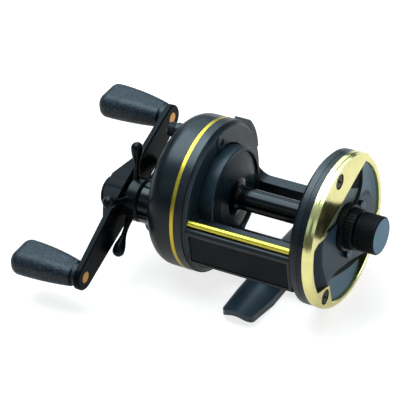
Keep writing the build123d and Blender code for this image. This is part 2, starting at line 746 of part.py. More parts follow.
with BuildPart() as bush:
    tube(x_gear_seat - bush_stand, x_carrier, bush_radius, drive_axis,
         inner=drive_journal_radius + run_gap)
finish(bush.part, "drive_shaft_bush")

with BuildPart() as drive_bearing:
    tube(x_drive_boss + bearing_inset, x_drive_boss + drive_bearing_width, drive_bearing_radius,
         drive_axis, inner=sleeve_radius + run_gap)
finish(drive_bearing.part, "drive_shaft_bearing")

with BuildPart() as spool_bearings:
    tube(x_cap_boss, x_cap_boss + bearing_length, bearing_radius, spool_axis,
         inner=spool_shaft_radius + run_gap)
    tube(x_bearing_dial, x_cavity_end, bearing_radius, spool_axis,
         inner=spool_shaft_radius + run_gap)
finish(spool_bearings.part, "spool_bearings")

# --- spool, its shaft and what turns with it ----------------------------------------------
x_gear_face = x_gear_flange + gear_flange_width      # spool-side edge of the gear-side rim
lip_radius = flange_radius - flange_lip
with BuildPart() as spool:
    turn([(x_gear_flange, 0), (x_gear_flange, flange_radius - flange_edge),
          (x_gear_flange + flange_edge, flange_radius), (x_gear_face - flange_edge, flange_radius),
          (x_gear_face, flange_radius - flange_edge), (x_gear_face, lip_radius),
          (x_gear_face - flange_lip_depth, lip_radius - flange_edge),
          (x_gear_face - flange_lip_depth + flange_dome * 0.65, (lip_radius + arbor_root) / 2),
          (x_gear_face - flange_lip_depth + flange_dome, arbor_root + 0.6),
          (x_gear_face + flange_dome, arbor_root - 0.9),
          (x_gear_face + arbor_flare * 0.7, arbor_radius + 0.5),
          (x_gear_face + arbor_flare + 0.4, arbor_radius),
          (x_dial_flange - arbor_flare, arbor_radius),
          (x_dial_flange - arbor_flare * 0.3, arbor_root - 1.0),
          (x_dial_flange, arbor_root + 0.6), (x_dial_flange, flange_radius - flange_edge),
          (x_dial_flange + flange_edge, flange_radius),
          (x_dial_flange + dial_flange_width, flange_radius), (x_dial_flange + dial_flange_width, 0)],
         spool_axis)
    turn([(x_gear_flange, arbor_hub), (x_gear_flange, flange_radius - flange_wall),
          (x_gear_face - flange_lip_depth - flange_wall, flange_radius - flange_wall - flange_draft),
          (x_gear_face - flange_lip_depth - flange_wall + flange_draft, arbor_hub)],
         spool_axis, mode=Mode.SUBTRACT)
    tube(x_dial_flange + dial_flange_width, x_rotor + rotor_hub_length, rotor_hub_radius, spool_axis)
    tube(x_gear_flange, x_rotor + rotor_hub_length, spool_shaft_radius + fit_gap, spool_axis,
         mode=Mode.SUBTRACT)
finish(spool.part, "spool")

pin_plane = Plane(origin=(x_clutch_pin, 0, spool_z - clutch_pin_length / 2), z_dir=(0, 0, 1))
with BuildPart() as spool_shaft:
    tube(x_cap_boss - tension_shim_thickness, x_shaft_end, spool_shaft_radius, spool_axis)
    with BuildSketch(pin_plane) as cross:
        Circle(clutch_pin_radius + fit_gap)
    extrude(cross.sketch, amount=clutch_pin_length, mode=Mode.SUBTRACT)
finish(spool_shaft.part, "spool_shaft")

with BuildPart() as clutch_pin:
    with BuildSketch(pin_plane):
        Circle(clutch_pin_radius)
    extrude(amount=clutch_pin_length)
finish(clutch_pin.part, "clutch_cross_pin")

with BuildPart() as brake_rotor:
    tube(x_rotor, x_rotor + rotor_thickness, rotor_radius, spool_axis,
         inner=rotor_hub_radius + fit_gap)
    with BuildSketch(across(x_rotor, spool_axis)) as windows:
        with PolarLocations(rotor_window_circle, rotor_window_count):
            Circle(rotor_window_radius)
    extrude(windows.sketch, amount=rotor_thickness, mode=Mode.SUBTRACT)
finish(brake_rotor.part, "brake_rotor")

# --- gears --------------------------------------------------------------------------------
flank_angle = radians(pressure_angle)
addendum = addendum_share * gear_module
dedendum = dedendum_share * gear_module


def tooth_flank(teeth, radius):
    """Half the angle of a tooth at a radius, from the involute of its base circle."""
    pitch = gear_module * teeth / 2
    base = pitch * cos(flank_angle)
    at_pitch = pi / 2 / teeth - tooth_gap / 4 / pitch
    turned = acos(min(1.0, base / radius))
    return at_pitch + tan(flank_angle) - flank_angle - (tan(turned) - turned)


def gear_outline(teeth, first_angle):
    """Closed outline of a spur gear whose first tooth points to an angle in radians."""
    pitch = gear_module * teeth / 2
    root = pitch - dedendum
    base = pitch * cos(flank_angle)
    start = max(root, base)
    radii = [start + (pitch + addendum - start) * step / 3 for step in range(4)]
    rise = [(root, tooth_flank(teeth, start))] if root < base else []
    rise += [(r, tooth_flank(teeth, r)) for r in radii]
    points = []
    for tooth in range(teeth):
        middle = first_angle + 2 * pi * tooth / teeth
        sides = [(r, middle - half) for r, half in rise]
        sides += [(r, middle + half) for r, half in reversed(rise)]
        points += [(r * cos(a), r * sin(a)) for r, a in sides]
    return points


to_spool = radians(drive_angle) + pi
with BuildPart() as main_gear:
    bar(x_main_gear - main_gear_width, x_main_gear, gear_outline(main_teeth, to_spool), drive_axis)
    tube(x_main_gear - main_gear_width, x_main_gear, drive_shaft_radius + run_gap, drive_axis,
         mode=Mode.SUBTRACT)
finish(main_gear.part, "main_gear")

with BuildPart() as pinion:
    bar(x_pinion_end, x_pinion_teeth,
        gear_outline(pinion_teeth, to_spool + pi + pi / pinion_teeth), spool_axis)
    tube(x_pinion_teeth, x_groove, pinion_groove_radius, spool_axis)
    tube(x_groove, x_pinion_face, pinion_collar_radius, spool_axis)
    tube(x_pinion_end, x_pinion_face, spool_shaft_radius + run_gap, spool_axis,
         mode=Mode.SUBTRACT)
    slot(x_pinion_face - pinion_slot_depth - run_gap, x_pinion_face,
         2 * (clutch_pin_radius + run_gap), 3 * pinion_collar_radius, spool_axis)
finish(pinion.part, "pinion_gear")

# --- clutch: yoke, cam ring and thumb lever -----------------------------------------------
post_way = radians(post_angles[0])
side_way = radians(post_angles[0] - 90)


def yoke_point(out, side):
    """A point on the yoke: along the line of the two posts, and square to it."""
    return (out * cos(post_way) + side * cos(side_way), out * sin(post_way) + side * sin(side_way))


with BuildPart() as yoke:
    bar(x_yoke - yoke_thickness, x_yoke, [
        yoke_point(-yoke_post_offset, -yoke_end_half_width),
        yoke_point(yoke_post_offset, -yoke_end_half_width),
        yoke_point(yoke_post_offset, yoke_end_half_width),
        yoke_point(yoke_waist, yoke_half_width), yoke_point(-yoke_waist, yoke_half_width),
        yoke_point(-yoke_post_offset, yoke_end_half_width)], spool_axis)
    for axis in post_axes:
        tube(x_yoke - yoke_thickness, x_yoke, yoke_ear_radius, axis)
    for axis in post_axes:
        tube(x_yoke - yoke_thickness, x_yoke, yoke_post_radius + run_gap, axis,
             mode=Mode.SUBTRACT)
    tube(x_yoke - yoke_thickness, x_yoke, pinion_groove_radius + run_gap, spool_axis,
         mode=Mode.SUBTRACT)
    mouth = pinion_groove_radius + run_gap
    bar(x_yoke - yoke_thickness, x_yoke, [
        yoke_point(-mouth, 0), yoke_point(mouth, 0), yoke_point(mouth, -yoke_half_width),
        yoke_point(-mouth, -yoke_half_width)], spool_axis, mode=Mode.SUBTRACT)
finish(yoke.part, "pinion_yoke")

lever_way = Plane(origin=(x_cam, plate_axis[0], plate_axis[1]),
                  x_dir=(0, cos(radians(lever_angle)), sin(radians(lever_angle))), z_dir=(1, 0, 0))
clutch_rivet_spots = [(cam_arm_reach - inset, 0) for inset in clutch_rivet_insets]
with BuildPart() as clutch_cam:
    tube(x_cam - cam_thickness, x_cam, cam_radius, spool_axis)
    with BuildSketch(lever_way.offset(-cam_thickness)) as arm:
        with Locations(((cam_arm_reach + cam_arm_start) / 2, 0)):
            Rectangle(cam_arm_reach - cam_arm_start, cam_arm_width)
    extrude(arm.sketch, amount=cam_thickness)
    tube(x_cam - cam_thickness, x_cam, cam_bore, spool_axis, mode=Mode.SUBTRACT)
    with BuildSketch(lever_way.offset(-cam_thickness)) as rivet_holes:
        with Locations(*clutch_rivet_spots):
            Circle(clutch_rivet_radius + fit_gap)
    extrude(rivet_holes.sketch, amount=cam_thickness, mode=Mode.SUBTRACT)
finish(clutch_cam.part, "clutch_cam")

pad_inner = ring_radius + knob_gap
pad_outer = pad_inner + lever_pad_height
leg_end = pad_inner + lever_pad_taper
with BuildPart() as clutch_lever:
    with BuildSketch(lever_way.offset(x_leg - x_cam)) as leg:
        with Locations(((lever_leg_start + leg_end) / 2, 0)):
            Rectangle(leg_end - lever_leg_start, cam_arm_width)
    extrude(leg.sketch, amount=lever_leg_thickness)
    with BuildSketch(across(x_leg)) as pad:
        with BuildLine():
            first = lever_angle - lever_span / 2
            last = lever_angle + lever_span / 2
            outer = ThreePointArc(spot(pad_outer - lever_pad_taper, first), spot(pad_outer, lever_angle),
                                  spot(pad_outer, last))
            inner = ThreePointArc(spot(pad_inner, first), spot(pad_inner, lever_angle),
                                  spot(pad_inner, last))
            Line(outer @ 0, inner @ 0)
            Line(outer @ 1, inner @ 1)
        make_face()
    extrude(pad.sketch, amount=lever_pad_width)
    with BuildSketch(lever_way.offset(x_leg - x_cam)) as rivet_holes:
        with Locations(*clutch_rivet_spots):
            Circle(clutch_rivet_radius + fit_gap)
    extrude(rivet_holes.sketch, amount=lever_leg_thickness, mode=Mode.SUBTRACT)
finish(clutch_lever.part, "clutch_lever")

with BuildPart() as clutch_rivets:
    with BuildSketch(lever_way.offset(x_leg - x_cam - clutch_rivet_stand)) as shanks:
        with Locations(*clutch_rivet_spots):
            Circle(clutch_rivet_radius)
    extrude(shanks.sketch, amount=cam_thickness + lever_leg_thickness + clutch_rivet_stand)
finish(clutch_rivets.part, "clutch_rivets")

# --- drive shaft, drag stack and anti-reverse ---------------------------------------------
x_shaft_tip = x_hub_back + handle_cap_spigot + shaft_tip_gap
with BuildPart() as drive_shaft:
    tube(x_shaft_tip, x_flange, drive_shaft_radius, drive_axis)
    tube(x_flange - shaft_flange_width, x_flange, shaft_flange_radius, drive_axis)
    tube(x_flange, x_carrier + journal_stand, drive_journal_radius, drive_axis)
    chamfer(drive_shaft.edges().filter_by(GeomType.CIRCLE).sort_by(Axis.X)[0], shaft_chamfer)
finish(drive_shaft.part, "drive_shaft")

with BuildPart() as drag_washers:
    for x0, radius in ((x_main_gear, shaft_flange_radius), (x_pressure, washer_radius)):
        tube(x0, x0 + washer_thickness, radius, drive_axis, inner=drive_shaft_radius + run_gap)
finish(drag_washers.part, "drag_washers")

with BuildPart() as pressure_washer:
    tube(x_springs, x_pressure, pressure_washer_radius, drive_axis,
         inner=drive_shaft_radius + run_gap)
finish(pressure_washer.part, "drag_pressure_washer")

with BuildPart() as spring_washers:
    bore = drive_shaft_radius + run_gap
    cone = (spring_washer_width - spring_washer_play) / 2 - spring_washer_thickness
    for x_rim, way in ((x_springs, -1), (x_sleeve, 1)):
        turn([(x_rim, spring_washer_radius), (x_rim + way * cone, bore),
              (x_rim + way * (cone + spring_washer_thickness), bore),
              (x_rim + way * spring_washer_thickness, spring_washer_radius)], drive_axis)
finish(spring_washers.part, "drag_spring_washers")

with BuildPart() as drag_sleeve:
    tube(x_star + loose_gap, x_sleeve, sleeve_radius, drive_axis,
         inner=drive_shaft_radius + run_gap)
finish(drag_sleeve.part, "drag_sleeve")

with BuildPart() as ratchet:
    outline = []
    for tooth in range(ratchet_teeth):
        a = radians(ratchet_phase) + 2 * pi * tooth / ratchet_teeth
        b = a + 2 * pi / ratchet_teeth * ratchet_slope
        outline += [(ratchet_radius * cos(a), ratchet_radius * sin(a)),
                    (ratchet_root * cos(b), ratchet_root * sin(b))]
    bar(x_flange, x_ratchet, outline, drive_axis)
    tube(x_flange, x_ratchet, drive_journal_radius + fit_gap, drive_axis, mode=Mode.SUBTRACT)
finish(ratchet.part, "ratchet_wheel")

with BuildPart() as pawl_post:
    x_post_top = x_main_gear + side_gap
    tube(x_post_top, x_carrier, pawl_post_radius, pawl_axis)
    tube(x_post_top, x_post_top + pawl_post_head, pawl_post_radius + pawl_post_rim, pawl_axis)
finish(pawl_post.part, "pawl_post")

with BuildPart() as pawl:
    tip_way = pawl_angle + 180 - pawl_swing
    tip = spot(pawl_reach, tip_way)
    heel = spot(pawl_half_width, tip_way + 90)
    blunt = spot(pawl_tip_width, tip_way + 90)
    x_pawl = x_ratchet - (ratchet_width - pawl_thickness) / 2
    tube(x_pawl - pawl_thickness, x_pawl, pawl_ring, pawl_axis)
    bar(x_pawl - pawl_thickness, x_pawl,
        [(-heel[0], -heel[1]), (tip[0] - blunt[0], tip[1] - blunt[1]), tip, heel], pawl_axis)
    tube(x_pawl - pawl_thickness, x_pawl, pawl_post_radius + run_gap, pawl_axis,
         mode=Mode.SUBTRACT)
finish(pawl.part, "anti_reverse_pawl")

# --- star drag ----------------------------------------------------------------------------
with BuildPart() as star:
    tube(x_star_end, x_star, star_hub_radius, drive_axis)
    chamfer(star.edges().filter_by(GeomType.CIRCLE), star_chamfer)
    x_arms = x_star_end + star_rise
    bulb = star_reach - star_bulb_radius
    bulb_corner = star_bulb_radius * sqrt(0.5)
    for k in range(star_arm_count):
        angle = radians(star_first_angle + 360 / star_arm_count * k)
        arm_plane = Plane(origin=(x_arms, drive_y, drive_z), x_dir=(0, cos(angle), sin(angle)),
                          z_dir=(1, 0, 0))
        with BuildSketch(arm_plane) as drop:
            with BuildLine():
                Line((star_arm_start, 0), (star_reach, 0))
                ThreePointArc((star_reach, 0), (bulb + bulb_corner, bulb_corner),
                              (bulb, star_bulb_radius))
                Spline((bulb, star_bulb_radius), (bulb - star_bulb_length, star_neck_radius),
                       (star_arm_start, star_root_radius),
                       tangents=[(-1, 0), (-1, 0.25)])
                Line((star_arm_start, star_root_radius), (star_arm_start, 0))
            make_face()
        revolve(drop.sketch, axis=Axis((x_arms, drive_y, drive_z), (0, cos(angle), sin(angle))))
    tube(x_star_end, x_star, drive_shaft_radius + run_gap, drive_axis, mode=Mode.SUBTRACT)
finish(star.part, "star_drag")

# --- handle -------------------------------------------------------------------------------
handle_plane = Plane(origin=(x_handle, drive_y, drive_z), x_dir=(0, handle_u[0], handle_u[1]),
                     z_dir=(-1, 0, 0))
arm_side = Plane(origin=(x_handle, drive_y, drive_z), x_dir=(0, handle_u[0], handle_u[1]),
                 z_dir=(0, -handle_u[1], handle_u[0]))
with BuildPart() as handle:
    with BuildSketch(handle_plane) as plan:
        with Locations((handle_half, 0), (-handle_half, 0)):
            Circle(arm_end_radius)
        with BuildLine():
            Polyline((handle_half, arm_end_radius), (hub_flat, arm_hub_width / 2),
                     (-hub_flat, arm_hub_width / 2), (-handle_half, arm_end_radius),
                     (-handle_half, -arm_end_radius), (-hub_flat, -arm_hub_width / 2),
                     (hub_flat, -arm_hub_width / 2), (handle_half, -arm_end_radius), close=True)
        make_face()
    extrude(plan.sketch, amount=hub_thickness)
    with BuildSketch(handle_plane) as hub_plan:
        Circle(arm_hub_width / 2 + hub_disc_grow)
    extrude(hub_plan.sketch, amount=hub_thickness)
    end = handle_half + 2 * arm_end_radius
    with BuildSketch(arm_side.offset(-arm_hub_width)) as side:
        with BuildLine():
            Polyline((-end, 0), (end, 0), (end, arm_thickness), (hub_slope_end, arm_thickness),
                     (hub_flat, hub_thickness), (-hub_flat, hub_thickness),
                     (-hub_slope_end, arm_thickness), (-end, arm_thickness), close=True)
        make_face()
    extrude(side.sketch, amount=2 * arm_hub_width, mode=Mode.INTERSECT)
    chamfer(handle.faces().sort_by(Axis.X)[-1].outer_wire().edges(), arm_bevel)
    tube(x_hub_back, x_handle, drive_shaft_radius + fit_gap, drive_axis, mode=Mode.SUBTRACT)
    tube(x_hub_back, x_hub_back + pocket_depth, pocket_radius, drive_axis, mode=Mode.SUBTRACT)
    for axis in knob_axes.values():
        tube(x_hub_back, x_handle, knob_bore + fit_gap, axis, mode=Mode.SUBTRACT)
        tube(x_handle - rivet_head_depth, x_handle, rivet_head_radius + fit_gap, axis,
             mode=Mode.SUBTRACT)
finish(handle.part, "handle_arm")

with BuildPart() as handle_nut:
    x_nut = x_hub_back + pocket_depth
    with BuildSketch(across(x_nut - handle_nut_depth, drive_axis)):
        RegularPolygon(handle_nut_flats / 2, 6, major_radius=False, rotation=handle_angle)
        Circle(drive_shaft_radius + fit_gap, mode=Mode.SUBTRACT)
    extrude(amount=handle_nut_depth)
finish(handle_nut.part, "handle_nut")

with BuildPart() as handle_cap:
    tube(x_hub_back - handle_cap_length, x_hub_back, handle_cap_radius, drive_axis)
    fillet(handle_cap.edges().filter_by(GeomType.CIRCLE).sort_by(Axis.X)[0], handle_cap_lip)
    tube(x_hub_back, x_hub_back + handle_cap_spigot, pocket_radius - fit_gap, drive_axis)
    tube(x_hub_back - handle_cap_length, x_hub_back - handle_cap_length + handle_cap_dish,
         handle_cap_radius - handle_cap_rim, drive_axis, mode=Mode.SUBTRACT)
finish(handle_cap.part, "handle_nut_cap")

with BuildPart() as knob_rivets:
    for axis in knob_axes.values():
        tube(x_handle - rivet_head_depth, x_handle - rivet_head_sink, rivet_head_radius, axis)
        tube(x_paddle_end + paddle_cap_depth + side_gap, x_handle - rivet_head_depth, knob_bore,
             axis)
finish(knob_rivets.part, "knob_rivets")

# --- paddles with their bushes and end caps -----------------------------------------------
x_paddle_body = x_paddle - paddle_neck_length
x_paddle_middle = x_paddle_body - paddle_middle_share * (paddle_length - paddle_neck_length)
for side, axis in knob_axes.items():
    with BuildPart() as paddle:
        for x, (width, thick), rise in ((x_paddle_body, paddle_root, paddle_root_rise),
                                        (x_paddle_middle, paddle_middle, paddle_middle_rise),
                                        (x_paddle_end, paddle_end, paddle_end_rise)):
            with BuildSketch(across(x, axis)):
                with Locations(rise):
                    RectangleRounded(width, thick, paddle_corner_share * thick)
        loft()
        fillet(paddle.faces().sort_by(Axis.X)[0].edges(), paddle_end_round)
        tube(x_paddle_body, x_paddle, paddle_neck_radius, axis)
        tube(x_paddle_end, x_paddle, knob_bore + run_gap, axis, mode=Mode.SUBTRACT)
        tube(x_paddle - paddle_bush_length, x_paddle, paddle_bush_radius + fit_gap, axis,
             mode=Mode.SUBTRACT)
        tube(x_paddle_end, x_paddle_end + paddle_cap_depth, paddle_cap_radius + fit_gap, axis,
             mode=Mode.SUBTRACT)
    finish(paddle.part, f"{side}_paddle")
    with BuildPart() as paddle_bush:
        tube(x_paddle - paddle_bush_length, x_paddle, paddle_bush_radius, axis,
             inner=knob_bore + run_gap)
    finish(paddle_bush.part, f"{side}_paddle_bush")
    with BuildPart() as paddle_cap:
        tube(x_paddle_end, x_paddle_end + paddle_cap_depth, paddle_cap_radius, axis)
        slot(x_paddle_end, x_paddle_end + paddle_slot[2], paddle_slot[0], paddle_slot[1], axis)
    finish(paddle_cap.part, f"{side}_paddle_cap")

# --- dial side: trim, plate and screws ----------------------------------------------------


def trim_fill(grow):
    """The trim's flat facet and its two pointed lugs, grown by a gap."""
    with BuildSketch() as fill:
        with Locations(spot(facet_distance + trim_radius / 2 - grow, facet_angle)):
            Rectangle(3 * trim_radius, trim_radius, rotation=facet_angle - 90)
        for angle in plate_screw_angles[1:]:
            with Locations(spot(plate_screw_radius, angle)):
                Circle(lug_radius + grow)
            # a gap across slanted sides moves their corners further than across straight ones
            spread = lug_half_angle + degrees(2 * grow / lug_root)
            with BuildLine():
                Polyline(spot(lug_point - 2 * grow, angle), spot(lug_root, angle - spread),
                         spot(lug_root, angle), spot(lug_root, angle + spread), close=True)
            make_face()
    return fill.sketch


with BuildPart() as trim:
    corner = trim_round * sqrt(0.5)
    with BuildSketch(along(plate_axis)) as section:
        with BuildLine():
            Polyline((x_rim_face, trim_inner_radius), (x_rim_face, trim_radius),
                     (x_trim_face - trim_round, trim_radius))
            ThreePointArc((x_trim_face - trim_round, trim_radius),
                          (x_trim_face - trim_round + corner, trim_radius - trim_round + corner),
                          (x_trim_face, trim_radius - trim_round))
            Polyline((x_trim_face, trim_radius - trim_round),
                     (x_trim_face, trim_inner_radius + trim_lip),
                     (x_trim_face - trim_lip, trim_inner_radius), (x_rim_face, trim_inner_radius))
        make_face()
    revolve(section.sketch, axis=line_of(plate_axis))
    with BuildSketch(across(x_rim_face)) as flats:
        add(trim_fill(0))
        Circle(trim_radius - facet_edge, mode=Mode.INTERSECT)
    extrude(flats.sketch, amount=trim_width)
    holes(x_rim_face, x_trim_face, plate_screw_shank + run_gap,
          [spot(plate_screw_radius, a) for a in plate_screw_angles])
    holes(x_trim_face - plate_screw_sink - plate_screw_head_height, x_trim_face,
          plate_screw_head + plate_screw_room,
          [spot(plate_screw_radius, a) for a in plate_screw_angles])
finish(trim.part, "dial_side_trim")

x_head = x_trim_face - plate_screw_sink
plate_screw_spots = [spot(plate_screw_radius, a) for a in plate_screw_angles]
with BuildPart() as plate_screws:
    holes(x_head - plate_screw_head_height, x_head, plate_screw_head, plate_screw_spots,
          mode=Mode.ADD)
    chamfer(plate_screws.edges().filter_by(GeomType.CIRCLE).group_by(Axis.X)[-1],
            plate_screw_chamfer)
    holes(x_dial_seat - plate_screw_grip, x_head - plate_screw_head_height, plate_screw_shank,
          plate_screw_spots, mode=Mode.ADD)
    with BuildSketch(across(x_head - cross_depth)) as crosses:
        with Locations(*plate_screw_spots):
            Rectangle(cross_length, cross_width, rotation=45)
            Rectangle(cross_length, cross_width, rotation=-45)
    extrude(crosses.sketch, amount=cross_depth, mode=Mode.SUBTRACT)
finish(plate_screws.part, "dial_side_screws")

leg_spots = [spot(carrier_leg_circle, a) for a in carrier_leg_angles]
guide_pin_spots = [spot(guide_pin_circle, a) for a in guide_pin_angles]
with BuildPart() as dial_plate:
    tube(x_rim_face, x_floor, floor_radius, spool_axis)
    with BuildSketch(across(x_rim_face)) as trim_plan:
        add(trim_fill(cap_gap))
    extrude(trim_plan.sketch, amount=cap_rise, mode=Mode.SUBTRACT)
    tube(x_dial_seat, x_rim_face, plate_rim_radius, plate_axis)
    tube(x_dial_seat, x_cavity_end, cavity_radius, spool_axis, mode=Mode.SUBTRACT)
    tube(x_bearing_dial, x_cavity_end, bearing_radius + bearing_hub_wall, spool_axis,
         inner=bearing_radius + fit_gap)
    holes(x_cavity_end, x_floor, carrier_leg_radius + run_gap, leg_spots, spool_axis)
    holes(x_cavity_end, x_floor, guide_pin_radius + fit_gap, guide_pin_spots, spool_axis)
    holes(x_dial_seat, x_rim_face, plate_screw_shank + run_gap, plate_screw_spots)
finish(dial_plate.part, "dial_side_plate")

with BuildPart() as dial_cap:
    with BuildSketch(across(x_rim_face)) as cap_plan:
        Circle(trim_inner_radius - cap_gap)
        add(trim_fill(cap_gap), mode=Mode.SUBTRACT)
    extrude(cap_plan.sketch, amount=cap_rise)
    turn([(x_rim_face, 0), (x_rim_face, trim_radius), (x_rim_face + cap_edge, trim_radius),
          (x_rim_face + cap_edge, trim_inner_radius), (x_cap_face, cap_flat_radius),
          (x_cap_face, 0)], plate_axis, mode=Mode.INTERSECT)
    tube(x_rim_face, x_floor, floor_radius + cap_gap, spool_axis, mode=Mode.SUBTRACT)
    tube(x_floor, x_cap_face, collar_radius + cap_gap, spool_axis, mode=Mode.SUBTRACT)
finish(dial_cap.part, "dial_side_cap")

with BuildPart() as collar:
    tube(x_floor, x_collar_face, collar_radius, spool_axis)
    holes(x_collar_face - collar_tab_thickness, x_collar_face, collar_tab_radius,
          [spot(collar_tab_reach, a) for a in collar_tab_angles], spool_axis, mode=Mode.ADD)
    tube(x_collar_face, x_neck_face, collar_neck_radius, spool_axis)
    chamfer(collar.edges().filter_by(GeomType.CIRCLE).sort_by(Axis.X)[-1], collar_chamfer)
    knurls(x_collar_face, x_neck_face, collar_neck_radius, knurl_depth, collar_notch_count, spool_axis)
    tube(x_floor, x_floor + collar_bore_depth, collar_bore, spool_axis, mode=Mode.SUBTRACT)
    tube(x_floor, x_neck_face, dial_stem_radius + run_gap, spool_axis, mode=Mode.SUBTRACT)
finish(collar.part, "dial_scale_collar")

# --- brake dial, its cam and the magnets --------------------------------------------------
index_axis = moved(spool_axis, index_offset, index_angle)
with BuildPart() as dial:
    tube(x_dial, x_dial_end, dial_radius, spool_axis)
    chamfer(dial.edges().filter_by(GeomType.CIRCLE), dial_chamfer)
    knurls(x_dial + 2 * dial_chamfer, x_dial_end - 2 * dial_chamfer, dial_radius, knurl_depth,
           dial_knurl_count, spool_axis)
    tube(x_brake_cam, x_dial, dial_stem_radius, spool_axis)
    tube(x_dial_end - index_depth, x_dial_end, index_radius + fit_gap, index_axis,
         mode=Mode.SUBTRACT)
finish(dial.part, "brake_dial")

with BuildPart() as index:
    tube(x_dial_end - index_depth, x_dial_end, index_radius, index_axis)
finish(index.part, "dial_index_dot")

with BuildPart() as brake_cam:
    tube(x_brake_cam, x_brake_cam + brake_cam_width, brake_cam_radius, spool_axis,
         inner=dial_stem_radius + fit_gap)
finish(brake_cam.part, "brake_cam")

magnet_spots = [spot(magnet_circle, 360 / magnet_count * k) for k in range(magnet_count)]
with BuildPart() as magnet_carrier:
    tube(x_magnets, x_magnets + magnet_carrier_width, magnet_carrier_radius, spool_axis,
         inner=magnet_carrier_bore)
    holes(x_magnets + magnet_carrier_width, x_brake_cam - loose_gap, carrier_leg_radius,
          leg_spots, spool_axis, mode=Mode.ADD)
    holes(x_magnets, x_magnets + magnet_depth, magnet_radius + fit_gap, magnet_spots, spool_axis)
    holes(x_magnets, x_magnets + magnet_carrier_width, guide_pin_radius + run_gap,
          guide_pin_spots, spool_axis)
finish(magnet_carrier.part, "magnet_carrier")

with BuildPart() as magnets:
    holes(x_magnets, x_magnets + magnet_depth, magnet_radius, magnet_spots, spool_axis,
          mode=Mode.ADD)
finish(magnets.part, "brake_magnets")

with BuildPart() as guide_pins:
    holes(x_rotor + rotor_thickness + guide_pin_gap, x_floor, guide_pin_radius,
          guide_pin_spots, spool_axis, mode=Mode.ADD)
finish(guide_pins.part, "carrier_guide_pins")

# --- spool tension cap --------------------------------------------------------------------
x_shim = x_cap_boss - tension_shim_thickness
x_cap_inside = x_shim - tension_shim_thickness
x_cap_end = x_cap_inside - tension_cap_end
x_cap_rim = x_housing - knob_gap
with BuildPart() as tension_cap:
    tube(x_cap_end, x_cap_rim, tension_cap_radius, spool_axis)
    chamfer(tension_cap.edges().filter_by(GeomType.CIRCLE).sort_by(Axis.X)[0],
            tension_cap_chamfer)
    knurls(x_cap_end + 2 * tension_cap_chamfer, x_cap_rim, tension_cap_radius, knurl_depth,
           tension_cap_knurl_count, spool_axis)
    tube(x_cap_inside, x_cap_rim, cap_boss_radius + run_gap, spool_axis, mode=Mode.SUBTRACT)
finish(tension_cap.part, "spool_tension_cap")

with BuildPart() as tension_shim:
    tube(x_cap_inside, x_shim, tension_shim_radius, spool_axis)
finish(tension_shim.part, "tension_shim")
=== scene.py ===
"""Finishes, detail pieces and studio stage for a baitcasting reel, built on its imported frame."""
from math import cos, exp, hypot, pi, radians, sin

import bpy
from bpy.props import FloatProperty, FloatVectorProperty, PointerProperty
from mathutils import Matrix, Vector
from mathutils.kdtree import KDTree


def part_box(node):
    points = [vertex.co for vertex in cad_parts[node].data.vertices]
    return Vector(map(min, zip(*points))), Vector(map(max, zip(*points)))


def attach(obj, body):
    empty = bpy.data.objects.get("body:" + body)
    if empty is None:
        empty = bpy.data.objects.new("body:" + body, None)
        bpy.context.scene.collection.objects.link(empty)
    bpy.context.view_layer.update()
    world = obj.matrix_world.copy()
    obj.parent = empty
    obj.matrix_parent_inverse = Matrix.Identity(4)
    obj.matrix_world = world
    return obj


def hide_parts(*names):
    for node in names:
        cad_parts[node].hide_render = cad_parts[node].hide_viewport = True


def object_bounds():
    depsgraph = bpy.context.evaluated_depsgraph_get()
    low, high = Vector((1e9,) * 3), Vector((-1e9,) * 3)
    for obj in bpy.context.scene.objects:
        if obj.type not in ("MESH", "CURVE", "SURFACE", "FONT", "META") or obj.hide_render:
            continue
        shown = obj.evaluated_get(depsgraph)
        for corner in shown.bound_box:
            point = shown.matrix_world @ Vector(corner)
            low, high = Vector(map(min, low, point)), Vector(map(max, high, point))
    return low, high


bl_info = {
    "name": "Baitcasting Reel Finishes",
    "version": (1, 0, 0),
    "blender": (4, 5, 0),
    "location": "3D View > Sidebar > Reel",
    "description": "Finishes and detail pieces for a baitcasting reel, and a studio stage",
    "category": "Object",
}

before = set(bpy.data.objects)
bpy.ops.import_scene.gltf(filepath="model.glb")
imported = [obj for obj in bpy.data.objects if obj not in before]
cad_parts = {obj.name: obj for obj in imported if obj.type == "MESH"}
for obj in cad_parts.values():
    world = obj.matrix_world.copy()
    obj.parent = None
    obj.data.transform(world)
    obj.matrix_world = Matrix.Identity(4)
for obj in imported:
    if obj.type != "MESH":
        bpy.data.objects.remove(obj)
CAD_BOX = [list(corner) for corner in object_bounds()]
MM = 0.001
MICRON = 0.000001
WHITE = (1.0, 1.0, 1.0, 1.0)


def middle(node):
    """Centre of a CAD node's box."""
    low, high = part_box(node)
    return (low + high) / 2


PLATE = middle("dial_side_trim")         # centre of the round plates, in Y and Z
SPOOL = middle("brake_dial")             # axis of the spool and the dial
DRIVE = middle("drive_shaft")            # axis of the handle

# Where a finish changes: places along X, and radii about PLATE or SPOOL, in metres.
SPOOL_LOW, SPOOL_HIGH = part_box("spool")
RING_START, RING_END = SPOOL_LOW.x + 2.6 * MM, SPOOL_LOW.x + 3.7 * MM   # left ring's inner face
RING_GREY = 28.45 * MM                   # outer radius of the grey on it
BOSS_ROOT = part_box("gear_side_housing")[0].x + 6.1 * MM      # of the boss under the star
TAB_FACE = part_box("dial_scale_collar")[0].x + 2.9 * MM       # outer faces of the scale's tabs
TAB_ROOT = 9.4 * MM                      # where the tabs leave the collar
DIAL_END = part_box("brake_dial")[1].x     # end face of the dial
DIAL_FACE = 6.725 * MM                   # radius of the grey on it
ARBOR = 7.45 * MM                        # radius of the spool's arbor
SPOOL_RIM = SPOOL_HIGH.z - SPOOL.z       # radius of the spool's flanges
# between these lies painted shade of the groove at the flanges' lip
LIP_START, LIP_END = 1.9 * MM, 1.5 * MM  # dark lip, in from that rim

# Painted shade and light of the sculpted cap, which its "tone" attribute holds.
PAINTED_SHADE, FACE, PAINTED_LIGHT = 0.0, 0.5, 1.0


